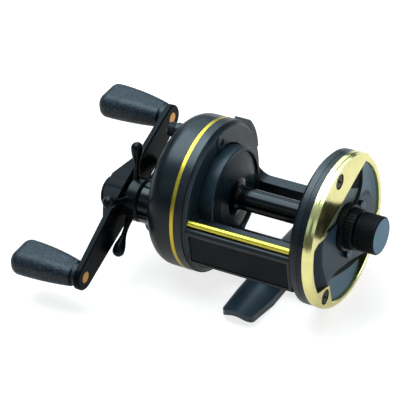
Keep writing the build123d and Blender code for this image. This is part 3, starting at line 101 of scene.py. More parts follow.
# --- settings that a user may change ---
def colour_setting(name, description, default):
    return FloatVectorProperty(name=name, description=description, subtype="COLOR", size=3,
                               min=0.0, max=1.0, default=default)


def length_setting(name, description, default):
    return FloatProperty(name=name, description=description, default=default, min=0.0,
                         subtype="DISTANCE", unit="LENGTH", precision=5)


def angle_setting(name, description, degrees):
    return FloatProperty(name=name, description=description, default=radians(degrees),
                         subtype="ANGLE", unit="ROTATION")


def share_setting(name, description, default):
    return FloatProperty(name=name, description=description, default=default, min=0.0, max=1.0,
                         subtype="FACTOR")


class ReelColours(bpy.types.PropertyGroup):
    """Colours of the reel's finishes"""

    casting: colour_setting("Casting", "Satin black of the frame and covers",
                            (0.0034, 0.0062, 0.0088))
    gloss: colour_setting("Gloss black", "Polished black of the handle and spool",
                          (0.0018, 0.0027, 0.0036))
    inner_ring: colour_setting("Inner ring", "Matt grey inside the rings", (0.014, 0.025, 0.033))
    # paler and bluer than the casting: painted sheen on the foot
    foot: colour_setting("Foot", "Slate black of the foot", (0.022, 0.037, 0.049))
    grip: colour_setting("Grip", "Pebble-grained black of the paddles", (0.0060, 0.0105, 0.0145))
    gold: colour_setting("Gold", "Pale polished gold of the trim", (0.95, 0.86, 0.36))
    bevel: colour_setting("Bevel", "Soft gold of the strip behind the facet", (0.66, 0.62, 0.27))
    rod: colour_setting("Rod", "Lemon gold of the line guard rod", (0.74, 0.62, 0.075))
    stripe: colour_setting("Stripe", "Deeper gold of the band on the gear side",
                           (0.60, 0.44, 0.045))
    rivet: colour_setting("Rivet", "Copper brass of the knob rivets", (0.55, 0.27, 0.07))
    steel: colour_setting("Steel", "Plain turned steel", (0.45, 0.46, 0.48))
    brass: colour_setting("Brass", "Turned brass of gears and bushes", (0.62, 0.45, 0.16))
    aluminium: colour_setting("Aluminium", "Turned aluminium of the inner plates",
                              (0.42, 0.43, 0.45))
    plastic: colour_setting("Plastic", "Black plastic of the works inside", (0.03, 0.03, 0.034))
    oxide: colour_setting("Oxide", "Black oxide of the plate's screws", (0.02, 0.022, 0.026))
    dot: colour_setting("Dot", "Enamel dot of the dial", (0.01, 0.42, 0.26))
    numeral: colour_setting("Numeral", "Light print on the dial's scale", (0.55, 0.60, 0.62))
    tab: colour_setting("Tab", "Grey outer faces of the scale's tabs", (0.090, 0.130, 0.155))
    # turned grey of the dial's end, partly its own and partly a painted reflection of the light
    # from the right
    dial_face: colour_setting("Dial face", "Turned grey end of the dial", (0.200, 0.300, 0.370))
    # painted shade of the cap's hollows
    cap_painted_shade: colour_setting("Cap hollow", "Deepest black of the cap",
                               (0.0015, 0.0020, 0.0026))
    cap_raised: colour_setting("Cap face", "Black of the cap's raised part",
                               (0.031, 0.054, 0.072))
    # painted light of the cap's dishes
    cap_painted_light: colour_setting("Cap dish", "Paler black of the cap's dishes",
                             (0.150, 0.220, 0.270))
    lens: colour_setting("Lens", "Pale floor behind the gold facet", (0.150, 0.170, 0.155))


class ReelSurface(bpy.types.PropertyGroup):
    """Sizes of the surfaces' fine structure"""

    edge: length_setting("Edge", "Rounding that light sees along every edge", 0.18 * MM)
    # share by which edges are polished by use and made paler as a painted highlight
    edge_wear_and_highlight: share_setting("Wear", "How much edges are polished by use", 0.35)
    paint_grain: length_setting("Paint grain", "Width of the grain in satin paint", 0.22 * MM)
    paint_depth: length_setting("Paint depth", "Depth of the grain in satin paint", 6 * MICRON)
    paint_cloud: length_setting("Paint cloud", "Width of the cloudy patches in its gloss", 9 * MM)
    pebble: length_setting("Pebble", "Width of the pebbles on the paddles", 0.46 * MM)
    pebble_depth: length_setting("Pebble depth", "Depth of the pebble grain", 0.11 * MM)
    dust: length_setting("Dust", "Width of the dull patches on grips and spool", 5 * MM)
    smear: length_setting("Smear", "Width of the smears on polished metal", 6 * MM)
    hairline: length_setting("Hairline", "Width of the hairlines on polished metal", 0.12 * MM)
    mould_grain: length_setting("Mould grain", "Width of moulded plastic's texture", 0.18 * MM)
    mould_depth: length_setting("Mould depth", "Depth of moulded plastic's texture", 8 * MICRON)
    turning: length_setting("Turning", "Pitch of the rings on turned metal", 0.16 * MM)
    turning_depth: length_setting("Turning depth", "Depth of the rings", 2 * MICRON)
    turning_tint: length_setting("Turning tint", "Width of turned metal's patches", 4 * MM)


class ReelStage(bpy.types.PropertyGroup):
    """Camera, lamps and floor"""

    azimuth: angle_setting("Azimuth", "Camera's turn round the reel", 32.124)
    elevation: angle_setting("Elevation", "Camera's height as an angle", 35.290)
    roll: angle_setting("Roll", "Camera's tilt about its own line of sight", -4.261)
    distance: length_setting("Distance", "From the camera to the point it looks at", 0.900)
    aim: FloatVectorProperty(name="Aim", description="Point that the camera looks at",
                             default=(-0.0244, -0.0122, 0.0412), subtype="TRANSLATION",
                             unit="LENGTH", size=3)
    lens: FloatProperty(name="Lens", description="Focal length in millimetres", default=216.72,
                        subtype="DISTANCE_CAMERA", unit="CAMERA")
    sky: share_setting("Sky", "Strength of the soft light from all round", 0.50)
    sky_gloss: share_setting("Sky in gloss", "How white the sky is in reflections", 0.06)
    key: FloatProperty(name="Key", description="Power of the softboxes in watts", default=9.0,
                       subtype="POWER", unit="POWER")
    tint: colour_setting("Tint", "Cool light of the softboxes", (0.68, 0.88, 1.0))
    floor: colour_setting("Floor", "Warm grey that the softboxes light", (0.42, 0.355, 0.325))
    floor_size: length_setting("Floor size", "Side of the floor", 6.0)
    floor_lift: share_setting("Floor lift", "How far the floor is lifted to white", 0.78)
    floor_gloss: share_setting("Floor in gloss", "Share of that lift in reflections", 0.55)


def colours():
    return bpy.context.scene.reel_colours


def surface():
    return bpy.context.scene.reel_surface


# --- material building ---
class Nodes:
    """Adds nodes to a tree and links them."""

    def __init__(self, tree):
        self.tree = tree

    def add(self, kind, **settings):
        """A new node with its settings."""
        node = self.tree.nodes.new(kind)
        for name, value in settings.items():
            setattr(node, name, value)
        return node

    def feed(self, socket, value):
        """A link where the value is a socket, and otherwise the value itself."""
        if isinstance(value, bpy.types.NodeSocket):
            self.tree.links.new(value, socket)
        else:
            socket.default_value = value

    def math(self, operation, *values):
        """One step of arithmetic on sockets and numbers."""
        node = self.add("ShaderNodeMath", operation=operation)
        for socket, value in zip(node.inputs, values):
            self.feed(socket, value)
        return node.outputs["Value"]


class Shading(Nodes):
    """A node material round one Principled shader."""

    def __init__(self, name, colour, roughness, metallic=0.0, specular=0.5):
        self.material = bpy.data.materials.new(name)
        self.material.use_nodes = True
        super().__init__(self.material.node_tree)
        self.shader = self.tree.nodes["Principled BSDF"]
        self.colour, self.roughness = colour, roughness
        self.set(**{"Base Color": (*colour, 1.0), "Metallic": metallic, "Roughness": roughness,
                    "Specular IOR Level": specular})

    def set(self, **values):
        """Gives the shader's sockets their values or links."""
        for socket, value in values.items():
            self.feed(self.shader.inputs[socket], value)


class Finish(Shading):
    """The shading of a real surface, with every edge rounded for the light."""

    def __init__(self, name, colour, **options):
        super().__init__(name, colour, **options)
        self.place = self.add("ShaderNodeTexCoord").outputs["Object"]
        rounding = self.add("ShaderNodeBevel", samples=6)
        rounding.inputs["Radius"].default_value = surface().edge
        self.face_along(rounding.outputs["Normal"])

    def face_along(self, normal):
        self.normal = normal
        self.set(Normal=normal)

    def bump(self, height, depth):
        """Adds relief to what the surface has so far."""
        node = self.add("ShaderNodeBump")
        node.inputs["Distance"].default_value = depth
        self.feed(node.inputs["Height"], height)
        self.feed(node.inputs["Normal"], self.normal)
        self.face_along(node.outputs["Normal"])

    def paint(self, colour):
        self.set(**{"Base Color": colour})
        self.colour = colour

    def rough(self, value):
        self.set(Roughness=value)

    def noise(self, width, detail=2.0, roughness=0.5, stretch=None):
        """Noise with features of one width, stretched where a direction is given."""
        texture = self.add("ShaderNodeTexNoise")
        texture.inputs["Scale"].default_value = 1.0 / width
        texture.inputs["Detail"].default_value = detail
        texture.inputs["Roughness"].default_value = roughness
        place = self.place
        if stretch:
            mapping = self.add("ShaderNodeMapping")
            mapping.inputs["Scale"].default_value = stretch
            self.feed(mapping.inputs["Vector"], place)
            place = mapping.outputs["Vector"]
        self.feed(texture.inputs["Vector"], place)
        return texture.outputs["Fac"]

    def cells(self, width):
        """Distance from the middles of rounded cells of one width."""
        texture = self.add("ShaderNodeTexVoronoi", feature="SMOOTH_F1")
        texture.inputs["Scale"].default_value = 1.0 / width
        self.feed(texture.inputs["Vector"], self.place)
        return texture.outputs["Distance"]

    def along(self, axis):
        """The place along X, Y or Z in metres."""
        node = self.add("ShaderNodeSeparateXYZ")
        self.feed(node.inputs["Vector"], self.place)
        return node.outputs[axis]

    def radius(self, centre):
        """Distance from a line along X through a centre."""
        y = self.math("SUBTRACT", self.along("Y"), centre.y)
        z = self.math("SUBTRACT", self.along("Z"), centre.z)
        squares = self.math("ADD", self.math("MULTIPLY", y, y), self.math("MULTIPLY", z, z))
        return self.math("SQRT", squares)

    def rings(self, radius, pitch):
        """Fine turned rings of one pitch."""
        return self.math("SINE", self.math("MULTIPLY", radius, 2 * pi / pitch))

    def span(self, value, low, high, to_low=0.0, to_high=1.0):
        """Carries low..high of a value to another range, with a smooth step."""
        node = self.add("ShaderNodeMapRange", interpolation_type="SMOOTHSTEP")
        for socket, number in (("Value", value), ("From Min", low), ("From Max", high),
                               ("To Min", to_low), ("To Max", to_high)):
            self.feed(node.inputs[socket], number)
        return node.outputs["Result"]

    def drift(self, noise, less, more, low=0.3, high=0.7):
        """Roughness that a noise takes from less below the finish's own to more above it."""
        return self.span(noise, low, high, self.roughness - less, self.roughness + more)

    def above(self, value, limit, soft):
        """1 where a value is above a limit, with a soft step."""
        return self.span(value, limit - soft, limit + soft)

    def below(self, value, limit, soft):
        """1 where a value is below a limit, with a soft step."""
        return self.span(value, limit + soft, limit - soft)

    def band(self, value, low, high, soft):
        """1 between low and high, with soft ends."""
        return self.math("MULTIPLY", self.above(value, low, soft), self.below(value, high, soft))

    def edges(self, flat_turn=0.96, sharp_turn=0.80):
        """1 on the edges, as the cosine of the rounding's turn falls from flat to sharp."""
        flat = self.add("ShaderNodeNewGeometry").outputs["Normal"]
        turn = self.add("ShaderNodeVectorMath", operation="DOT_PRODUCT")
        self.feed(turn.inputs[0], self.normal)
        self.feed(turn.inputs[1], flat)
        return self.span(turn.outputs["Value"], flat_turn, sharp_turn)

    def blend(self, share, first, second):
        """Mix of two colours or colour sockets."""
        node = self.add("ShaderNodeMix", data_type="RGBA")
        self.feed(node.inputs["Factor"], share)
        for socket, value in ((node.inputs[6], first), (node.inputs[7], second)):
            self.feed(socket, value if isinstance(value, bpy.types.NodeSocket) else (*value, 1.0))
        return node.outputs[2]


def scaled(colour, times, plus=0.0):
    """A colour made lighter or deeper."""
    return [min(1.0, c * times + plus) for c in colour]


def painted(name, colour, roughness=0.36, specular=0.38):
    """Satin black: fine paint grain, cloudy gloss, and edges polished by use and made paler as a
    painted highlight.
    """
    finish = Finish(name, colour, roughness=roughness, specular=specular)
    worn_and_highlit = finish.math("MULTIPLY", finish.edges(), surface().edge_wear_and_highlight)
    polish = finish.math("MULTIPLY", worn_and_highlit, 0.3)
    finish.rough(finish.math("SUBTRACT", satin_gloss(finish), polish))
    # edges paler: painted highlight along them, with their wear
    finish.paint(finish.blend(worn_and_highlit, colour, scaled(colour, 4.0, plus=0.012)))
    finish.bump(finish.noise(surface().paint_grain, detail=1.0), surface().paint_depth)
    return finish


def satin_gloss(finish):
    """Cloudy roughness of satin paint."""
    return finish.drift(finish.noise(surface().paint_cloud, detail=3.0), less=0.04, more=0.05)


def polished(name, colour, roughness, specular=0.5, metallic=1.0,
             stretch=(1.0, 1.0, 1.0), hair_depth=0.8 * MICRON):
    """Polished metal: faint hairlines and smears in the gloss."""
    finish = Finish(name, colour, metallic=metallic, roughness=roughness, specular=specular)
    smear = finish.noise(surface().smear, detail=4.0, roughness=0.6)
    hair = finish.noise(surface().hairline, stretch=stretch)
    smeared = finish.drift(smear, less=0.03, more=0.05, high=0.75)
    finish.rough(finish.math("ADD", smeared, finish.math("MULTIPLY", hair, 0.03)))
    finish.paint(finish.blend(finish.span(smear, 0.35, 0.7), colour, scaled(colour, 0.93)))
    finish.bump(hair, hair_depth)
    return finish


def pebbled(name, colour):
    """Moulded grip: rounded pebbles of uneven size, with painted highlights in spots on their tops.
    """
    finish = Finish(name, colour, roughness=0.42, specular=0.28)
    pebble = finish.cells(surface().pebble)
    fine = finish.noise(surface().pebble * 0.4)
    glint_speckle = finish.span(finish.noise(surface().pebble, detail=1.0), 0.50, 0.66)
    # pebble tops paler in spots: painted glints
    top = finish.span(pebble, 0.15, 0.6, 1.0, 0.0)
    light = finish.math("MULTIPLY", top, glint_speckle)
    finish.paint(finish.blend(light, colour, scaled(colour, 7.0, plus=0.024)))
    dust = finish.noise(surface().dust, detail=4.0, roughness=0.65)
    finish.rough(finish.drift(dust, less=0.06, more=0.08))
    height = finish.math("SUBTRACT", finish.math("MULTIPLY", fine, 0.25), pebble)
    finish.bump(height, surface().pebble_depth)
    return finish


def moulded(name, colour, roughness=0.5):
    """Plain moulded plastic with a fine matt texture."""
    finish = Finish(name, colour, roughness=roughness, specular=0.2)
    texture = finish.noise(surface().mould_grain)
    finish.rough(finish.drift(texture, less=0.06, more=0.06))
    finish.bump(texture, surface().mould_depth)
    return finish


def turned(name, colour, centre=DRIVE, roughness=0.28):
    """Turned metal: fine rings about an axis along X."""
    finish = Finish(name, colour, metallic=1.0, roughness=roughness)
    tint = finish.noise(surface().turning_tint, detail=3.0)
    finish.paint(finish.blend(finish.span(tint, 0.3, 0.7), colour, scaled(colour, 0.85)))
    finish.rough(finish.drift(tint, less=0.05, more=0.07))
    finish.bump(finish.rings(finish.radius(centre), surface().turning),
                surface().turning_depth)
    return finish


def ring_casting(name, colour):
    """Satin black casting whose ring faces towards the spool are a matt grey."""
    finish = painted(name, colour)
    face = finish.band(finish.along("X"), RING_START, RING_END, soft=0.1 * MM)
    inside = finish.below(finish.radius(PLATE), RING_GREY, soft=0.15 * MM)
    grey = finish.math("MULTIPLY", face, inside)
    finish.paint(finish.blend(grey, finish.colour, colours().inner_ring))
    return finish


def cover_casting(name, colour):
    """Satin black cover whose turned boss under the star is glossier, and darker as painted shade
    of the star.
    """
    finish = painted(name, colour, roughness=0.32, specular=0.28)
    shaded_boss = finish.below(finish.along("X"), BOSS_ROOT, soft=0.1 * MM)
    # boss darker: painted shade under the star
    finish.paint(finish.blend(shaded_boss, finish.colour, colours().gloss))
    turned_gloss = finish.math("MULTIPLY", shaded_boss, 0.17)
    finish.rough(finish.math("SUBTRACT", satin_gloss(finish), turned_gloss))
    return finish


def collar_plastic(name, colour):
    """Black collar of the dial with grey outer faces on its tabs."""
    finish = moulded(name, colour, roughness=0.42)
    tab = finish.above(finish.radius(SPOOL), TAB_ROOT, soft=0.1 * MM)
    face = finish.above(finish.along("X"), TAB_FACE - 0.1 * MM, soft=0.05 * MM)
    finish.paint(finish.blend(finish.math("MULTIPLY", tab, face), colour, colours().tab))
    return finish


def spool_anodising(name, colour):
    """Black anodised spool: glossy arbor, satin blue-grey flanges, and a dark ring at their lip
    painted as the groove's shade.
    """
    finish = polished(name, colour, roughness=0.17, specular=0.20, metallic=0.0)
    radius = finish.radius(SPOOL)
    flange = finish.above(radius, ARBOR, soft=0.15 * MM)
    # gloss black ring in from the rim: painted shade of the groove at the lip
    shaded_lip = finish.band(radius, SPOOL_RIM - LIP_START, SPOOL_RIM - LIP_END, soft=0.1 * MM)
    satin = finish.math("MULTIPLY", flange, finish.math("SUBTRACT", 1.0, shaded_lip))
    finish.paint(finish.blend(satin, finish.colour, colours().inner_ring))
    patches = finish.drift(finish.noise(surface().dust, detail=3.0), less=0.03, more=0.02)
    finish.rough(finish.math("ADD", finish.math("MULTIPLY", satin, 0.13), patches))
    return finish


def dial_paint(name, colour):
    """Black knurled dial with a turned grey end face, whose grey is partly its own and partly a
    painted reflection of the light from the right.
    """
    finish = painted(name, colour, roughness=0.50, specular=0.12)
    radius = finish.radius(SPOOL)
    end = finish.above(finish.along("X"), DIAL_END - 0.08 * MM, soft=0.04 * MM)
    face = finish.math("MULTIPLY", end, finish.below(radius, DIAL_FACE, soft=0.125 * MM))
    finish.paint(finish.blend(face, finish.colour, colours().dial_face))
    rings = finish.rings(radius, pitch=0.14 * MM)
    finish.bump(finish.math("MULTIPLY", rings, face), 3 * MICRON)
    return finish


def cap_paint(name, colour):
    """Satin black of the sculpted cap, with painted shade in its hollows and painted light in its
    dishes.
    """
    finish = painted(name, colour, roughness=0.40, specular=0.22)
    tone = finish.add("ShaderNodeAttribute", attribute_name="tone").outputs["Fac"]
    deep = finish.blend(finish.span(tone, PAINTED_SHADE, FACE), colours().cap_painted_shade,
                        colours().cap_raised)
    finish.paint(finish.blend(finish.span(tone, FACE, PAINTED_LIGHT), deep, colours().cap_painted_light))
    finish.rough(finish.span(tone, PAINTED_SHADE + 0.05, FACE - 0.05, 0.75, 0.38))
    return finish


# Each finish's recipe, its colour's setting, its options, and the CAD nodes that wear it.
FINISHES = {
    "satin_black_casting": (ring_casting, "casting", {}, ("frame",)),
    "cover_black": (cover_casting, "casting", {},
                    ("gear_side_housing", "dial_side_plate", "dial_side_cap", "clutch_lever")),
    "foot_black": (painted, "foot", {"roughness": 0.33, "specular": 0.50},
                   ("reel_foot", "foot_rivets")),
    "badge_black": (painted, "gloss", {"roughness": 0.48, "specular": 0.12}, ("front_badge",)),
    "handle_black": (painted, "gloss", {"roughness": 0.26, "specular": 0.05},
                     ("handle_arm", "handle_nut_cap")),
    "star_black": (painted, "gloss", {"roughness": 0.28, "specular": 0.15},
                   ("star_drag", "thumb_screws", "spool_tension_cap")),
    "spool_anodised": (spool_anodising, "gloss", {}, ("spool",)),
    "dial_black": (dial_paint, "gloss", {}, ("brake_dial",)),
    "collar_black": (collar_plastic, "gloss", {}, ("dial_scale_collar",)),
    "grip_pebbled": (pebbled, "grip", {}, ("upper_paddle", "lower_paddle")),
    "grip_cap_black": (moulded, "grip", {}, ("upper_paddle_cap", "lower_paddle_cap")),
    "gold_polished": (polished, "gold", {"roughness": 0.18}, ("dial_side_trim",)),
    "gold_rod": (polished, "rod", {"roughness": 0.38, "stretch": (0.05, 1.0, 1.0),
                                   "hair_depth": 0.1 * MICRON}, ("line_guard_rod",)),
    "gold_lacquer": (polished, "stripe", {"roughness": 0.32}, ("gold_stripe",)),
    "copper_brass": (polished, "rivet", {"roughness": 0.2}, ("knob_rivets",)),
    "black_oxide": (polished, "oxide", {"roughness": 0.3, "metallic": 0.6},
                    ("dial_side_screws",)),
    "dot_enamel": (moulded, "dot", {"roughness": 0.25}, ("dial_index_dot",)),
    "turned_brass": (turned, "brass", {}, ("main_gear", "drive_shaft_bush", "pinion_gear",
                                           "upper_paddle_bush", "lower_paddle_bush")),
    "plate_aluminium": (turned, "aluminium", {"centre": PLATE, "roughness": 0.35},
                        ("gear_carrier_plate", "brake_rotor")),
    "hidden_plastic": (moulded, "plastic", {}, ("pinion_yoke", "brake_cam", "magnet_carrier",
                                                "drag_washers", "tension_shim")),
    # on added pieces only
    "cap_black": (cap_paint, "casting", {}, ()),
    "cap_lens_grey": (moulded, "lens", {"roughness": 0.34}, ()),
    "gold_bevel": (polished, "bevel", {"roughness": 0.48}, ()),
    "scale_low_print": (moulded, "numeral", {}, ()),
    "scale_high_print": (moulded, "numeral", {}, ()),
}
DRESSED = {node for row in FINISHES.values() for node in row[3]}
FINISHES["turned_steel"] = (turned, "steel", {}, sorted(set(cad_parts) - DRESSED))


def finish_material(name):
    """A new material of a finish in the list."""
    recipe, colour, options, _ = FINISHES[name]
    return recipe(name, getattr(colours(), colour), **options).material


def dress(names):
    """Makes the named finishes and gives each its CAD nodes."""
    for name in names:
        material = finish_material(name)
        for node in FINISHES[name][3]:
            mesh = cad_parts[node].data
            mesh.materials.clear()
            mesh.materials.append(material)


# --- sculpted cap of the dial side ---
# Lines on the cap's face, as (y, z) in millimetres from the middle of the round plate.
# The raised part lies to the right of the brow and the scoop's foot, and to the left of the rest.
BROW = ((-22.7, 10.9), (-12.0, 8.5), (0.5, 7.6), (6.0, 7.4), (10.1, 8.7), (12.6, 11.2),
        (13.7, 15.0), (13.9, 22.5))
SHOULDER = ((11.5, 9.2), (16.0, 7.4), (20.6, 4.4), (24.1, -1.5), (25.6, -7.4), (25.0, -16.0))
CHEEK = ((-17.0, 9.5), (-18.9, 5.1), (-19.4, 1.9), (-19.3, -3.2), (-16.4, -13.3))
SCOOP = ((-16.4, -13.3), (-9.7, -12.6), (-4.3, -13.6), (2.9, -15.4), (14.8, -20.0), (22.0, -23.0))
SCOOP_FOOT = ((-16.4, -13.3), (-8.1, -16.6), (-0.9, -19.2), (6.3, -21.3), (14.7, -22.6),
              (22.0, -24.0))


class Line:
    """A smooth line through points, which tells how far a place lies to its left."""

    def __init__(self, points, step=0.12):
        points = [Vector(p) for p in points]
        points = [2 * points[0] - points[1], *points, 2 * points[-1] - points[-2]]
        self.places, self.ways = [], []
        for a, b, c, d in zip(points, points[1:], points[2:], points[3:]):
            count = max(2, int((c - b).length / step))
            for k in range(count):
                t = k / count
                self.places.append(0.5 * (2 * b + (c - a) * t + (2 * a - 5 * b + 4 * c - d) * t ** 2
                                          + (3 * b - a - 3 * c + d) * t ** 3))
                self.ways.append(0.5 * (c - a + 2 * (2 * a - 5 * b + 4 * c - d) * t
                                        + 3 * (3 * b - a - 3 * c + d) * t ** 2))
        self.tree = KDTree(len(self.places))
        for k, place in enumerate(self.places):
            self.tree.insert((place.x, place.y, 0.0), k)
        self.tree.balance()

    def left(self, y, z):
        """Distance to the left of the line, and negative on its right."""
        place, k, distance = self.tree.find((y, z, 0.0))
        way = self.ways[k]
        return distance if way.x * (z - place.y) - way.y * (y - place.x) > 0 else -distance


def step_up(value, low, high):
    """0 below low, 1 above high, and a smooth step between them."""
    t = min(1.0, max(0.0, (value - low) / (high - low)))
    return t * t * (3 - 2 * t)


def mix(first, second, share):
    return first + (second - first) * share


class CapShape:
    """The outline and the face of the sculpted cap, in millimetres from the plate's middle.

    A step is a pair of distances from a line, where one part starts to give way to the next
    and where it is gone. Heights are above the plate's rim."""

    # outline
    gap = 0.15                                # to the trim round it
    outer = 26.9                              # inner radius of the trim
    facet = (15.7, 107.3)                     # distance and angle of the trim's flat facet
    lug_angles = (222.5, -30.0)
    lug_place, lug_radius = 25.6, 3.4         # a lug's disc
    lug_point = 21.0                          # its point towards the middle
    lug_root, lug_spread = 27.4, 17.0         # radius and half angle of the point's root
    collar = 8.95                             # opening for the dial's collar
    # face
    low = 0.0                                 # underside at the rim
    raised = 3.35                             # raised part, at its middle
    crown, crown_radius = 0.30, 22.0          # how much lower it is at that radius
    slope_foot, slope_least = 1.1, 1.0        # long slope at the ring, and its least width
    scoop_low, dish_rise = 0.45, 1.9          # scoop at its wall, and its rise to the ring
    dish_step, wall_half = (-0.5, 7.5), 0.35
    field_start = SHOULDER[0][0] - 1.0        # concave field lies to the right of this y
    field_low, field_rise, field_edge = 1.2, 0.8, 3.0     # and rises that near the ring
    brow_rise, brow_fade = 2.1, 4.2           # more height beside the brow, and how it fades
    shoulder_step = (-0.9, 1.5)
    cup, cup_height = 18.3, 2.17              # plate's floor, about the spool's axis
    cup_clear = 0.02                          # lens-shaped floor over that one
    brow_step = (-0.25, 0.35)
    lens_edge = 0.55                          # from the brow to the pale part of that floor
    lens_end, lens_way = (3.3, 17.0), (0.53, 0.85)        # its dark end and the way across
    # painted light and shade
    shade_shoulder, shade_dish = (-0.6, 0.8), (-0.3, 0.6)
    shade_wall, shade_foot, wall_dark = (-0.1, 0.35), (-0.6, 0.2), 0.95
    shade_cheek, cheek_start, cheek_dark = (-0.3, 0.3), (0.0, 0.4), 0.28
    shade_brow = (-0.1, 0.5)

    def __init__(self):
        self.brow, self.shoulder, self.cheek = Line(BROW), Line(SHOULDER), Line(CHEEK)
        self.scoop, self.foot = Line(SCOOP), Line(SCOOP_FOOT)
        self.spool_rise = (SPOOL.z - PLATE.z) / MM

    def lug(self, y, z, angle):
        """Distance outside one pointed lug of the trim."""
        u = y * cos(radians(angle)) + z * sin(radians(angle))
        v = abs(z * cos(radians(angle)) - y * sin(radians(angle)))
        disc = hypot(u - self.lug_place, v) - self.lug_radius
        root_u = self.lug_root * cos(radians(self.lug_spread))
        root_v = self.lug_root * sin(radians(self.lug_spread))
        length = hypot(root_u - self.lug_point, root_v)
        wedge = (v * (root_u - self.lug_point) - (u - self.lug_point) * root_v) / length
        return min(disc, wedge)

    def outside(self, y, z):
        """How far a place lies outside the cap, and negative inside it."""
        distance, angle = self.facet
        reach = y * cos(radians(angle)) + z * sin(radians(angle))
        out = max(hypot(y, z) - self.outer, reach - distance,
                  self.collar - hypot(y, z - self.spool_rise))
        for angle in self.lug_angles:
            out = max(out, -self.lug(y, z, angle))
        return out + self.gap

    def tone(self, y, z):
        """Painted light and shade of the face, from the shade in its hollows through the raised
        face to the light in its dishes.
        """
        brow, scoop, foot = (line.left(y, z) for line in (self.brow, self.scoop, self.foot))
        tone = FACE
        if y > self.field_start:
            tone = mix(tone, PAINTED_LIGHT, step_up(self.shoulder.left(y, z), *self.shade_shoulder))
        if y > SCOOP[0][0]:
            tone = mix(tone, PAINTED_LIGHT, step_up(-foot, *self.shade_dish))
            wall = step_up(-scoop, *self.shade_wall) * step_up(foot, *self.shade_foot)
            tone *= 1 - self.wall_dark * wall
        cheek = step_up(-self.cheek.left(y, z), *self.shade_cheek)
        tone -= self.cheek_dark * cheek * step_up(-brow, *self.cheek_start)
        return tone * step_up(-brow, *self.shade_brow)

    def lens(self, y, z):
        """Whether a place lies on the pale floor behind the brow, before its dark end."""
        past_end = ((y - self.lens_end[0]) * self.lens_way[0]
                    + (z - self.lens_end[1]) * self.lens_way[1])
        return self.brow.left(y, z) > self.lens_edge and past_end < 0

    def height(self, y, z):
        """Height of the face above the rim of the plate."""
        radius = hypot(y, z)
        to_ring = self.outer - radius
        top = self.raised - self.crown * (radius / self.crown_radius) ** 2
        # long slope down to the ring on the left of the cheek
        cheek = self.cheek.left(y, z)
        slope = mix(self.slope_foot, top,
                    step_up(to_ring, 0.0, max(self.slope_least, to_ring - cheek)))
        face = top if cheek > 0 else min(top, slope)
        # scoop with a steep wall above and a dish that rises to the ring below
        if y > SCOOP[0][0]:
            scoop, foot = self.scoop.left(y, z), self.foot.left(y, z)
            dish = self.scoop_low + self.dish_rise * step_up(-foot, *self.dish_step)
            wall = step_up(scoop, min(-self.wall_half, foot - scoop), self.wall_half)
            face = mix(dish, face, wall)
        # concave field on the right, outside the brow and the shoulder
        brow = self.brow.left(y, z)
        if y > self.field_start:
            by_ring = step_up(self.field_edge - to_ring, 0.0, self.field_edge)
            by_brow = exp(-max(0.0, -brow) / self.brow_fade)
            field = self.field_low + self.field_rise * by_ring + self.brow_rise * by_brow
            shoulder = step_up(-self.shoulder.left(y, z), *self.shoulder_step)
            face = mix(field, face, shoulder)
        # lens-shaped sunk floor behind the brow
        face = mix(face, self.cup_height + self.cup_clear, step_up(brow, *self.brow_step))
        if hypot(y, z - self.spool_rise) < self.cup:
            face = max(face, self.cup_height)
        return face


def from_plate(place):
    """A place's (y, z) in millimetres from the middle of the round plate."""
    return (place.y - PLATE.y) / MM, (place.z - PLATE.z) / MM


def new_piece(name, points, faces, body, *materials):
    """A smooth mesh piece from points in metres, which rides on a body."""
    mesh = bpy.data.meshes.new(name)
    mesh.from_pydata([tuple(p) for p in points], [], faces)
    mesh.validate()
    mesh.shade_smooth()
    for material in materials:
        mesh.materials.append(material)
    piece = bpy.data.objects.new(name, mesh)
    bpy.context.scene.collection.objects.link(piece)
    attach(piece, body)
    return piece


def settle(shape, y, z, tries=4, probe=0.01, near=1e-4, least=0.25):
    """Draws a place in to the cap's outline, down the slope of its distance."""
    for _ in range(tries):
        out = shape.outside(y, z)
        if out <= near:
            break
        dy = (shape.outside(y + probe, z) - out) / probe
        dz = (shape.outside(y, z + probe) - out) / probe
        slope = max(dy * dy + dz * dz, least)
        y, z = y - out * dy / slope, z - out * dz / slope
    return y, z


def cap_grid(shape, base, cell=0.30):
    """Points and faces of the cap's face: square cells, with the outer ones drawn in to it."""
    count = int(2 * shape.outer / cell) + 3
    start = -0.5 * cell * (count - 1)
    grid = {(i, j): (start + i * cell, start + j * cell)
            for i in range(-1, count + 1) for j in range(-1, count + 1)}
    inside = {key for key, place in grid.items() if shape.outside(*place) < 0}
    squares = [((i, j), (i + 1, j), (i + 1, j + 1), (i, j + 1))
               for i in range(-1, count) for j in range(-1, count)]
    squares = [square for square in squares if inside.intersection(square)]
    number, points = {}, []
    for square in squares:
        for key in square:
            if key not in number:
                y, z = grid[key] if key in inside else settle(shape, *grid[key])
                number[key] = len(points)
                points.append(Vector((base + shape.height(y, z) * MM, PLATE.y + y * MM,
                                      PLATE.z + z * MM)))
    return points, [tuple(number[key] for key in square) for square in squares]


def add_skirt(shape, base, points, faces):
    """Takes every open edge of the cap's face down to the plate's rim or its cup."""
    edges = [edge for face in faces for edge in zip(face, face[1:] + face[:1])]
    pairs = set(edges)
    low = {}
    for a, b in edges:
        if (b, a) not in pairs:
            for k in (a, b):
                if k not in low:
                    low[k] = len(points)
                    under = points[k].copy()
                    far = hypot(under.y - SPOOL.y, under.z - SPOOL.z) / MM
                    under.x = base + (shape.cup_height if far < shape.cup else shape.low) * MM
                    under.x = min(under.x, points[k].x)
                    points.append(under)
            faces.append((b, a, low[a], low[b]))


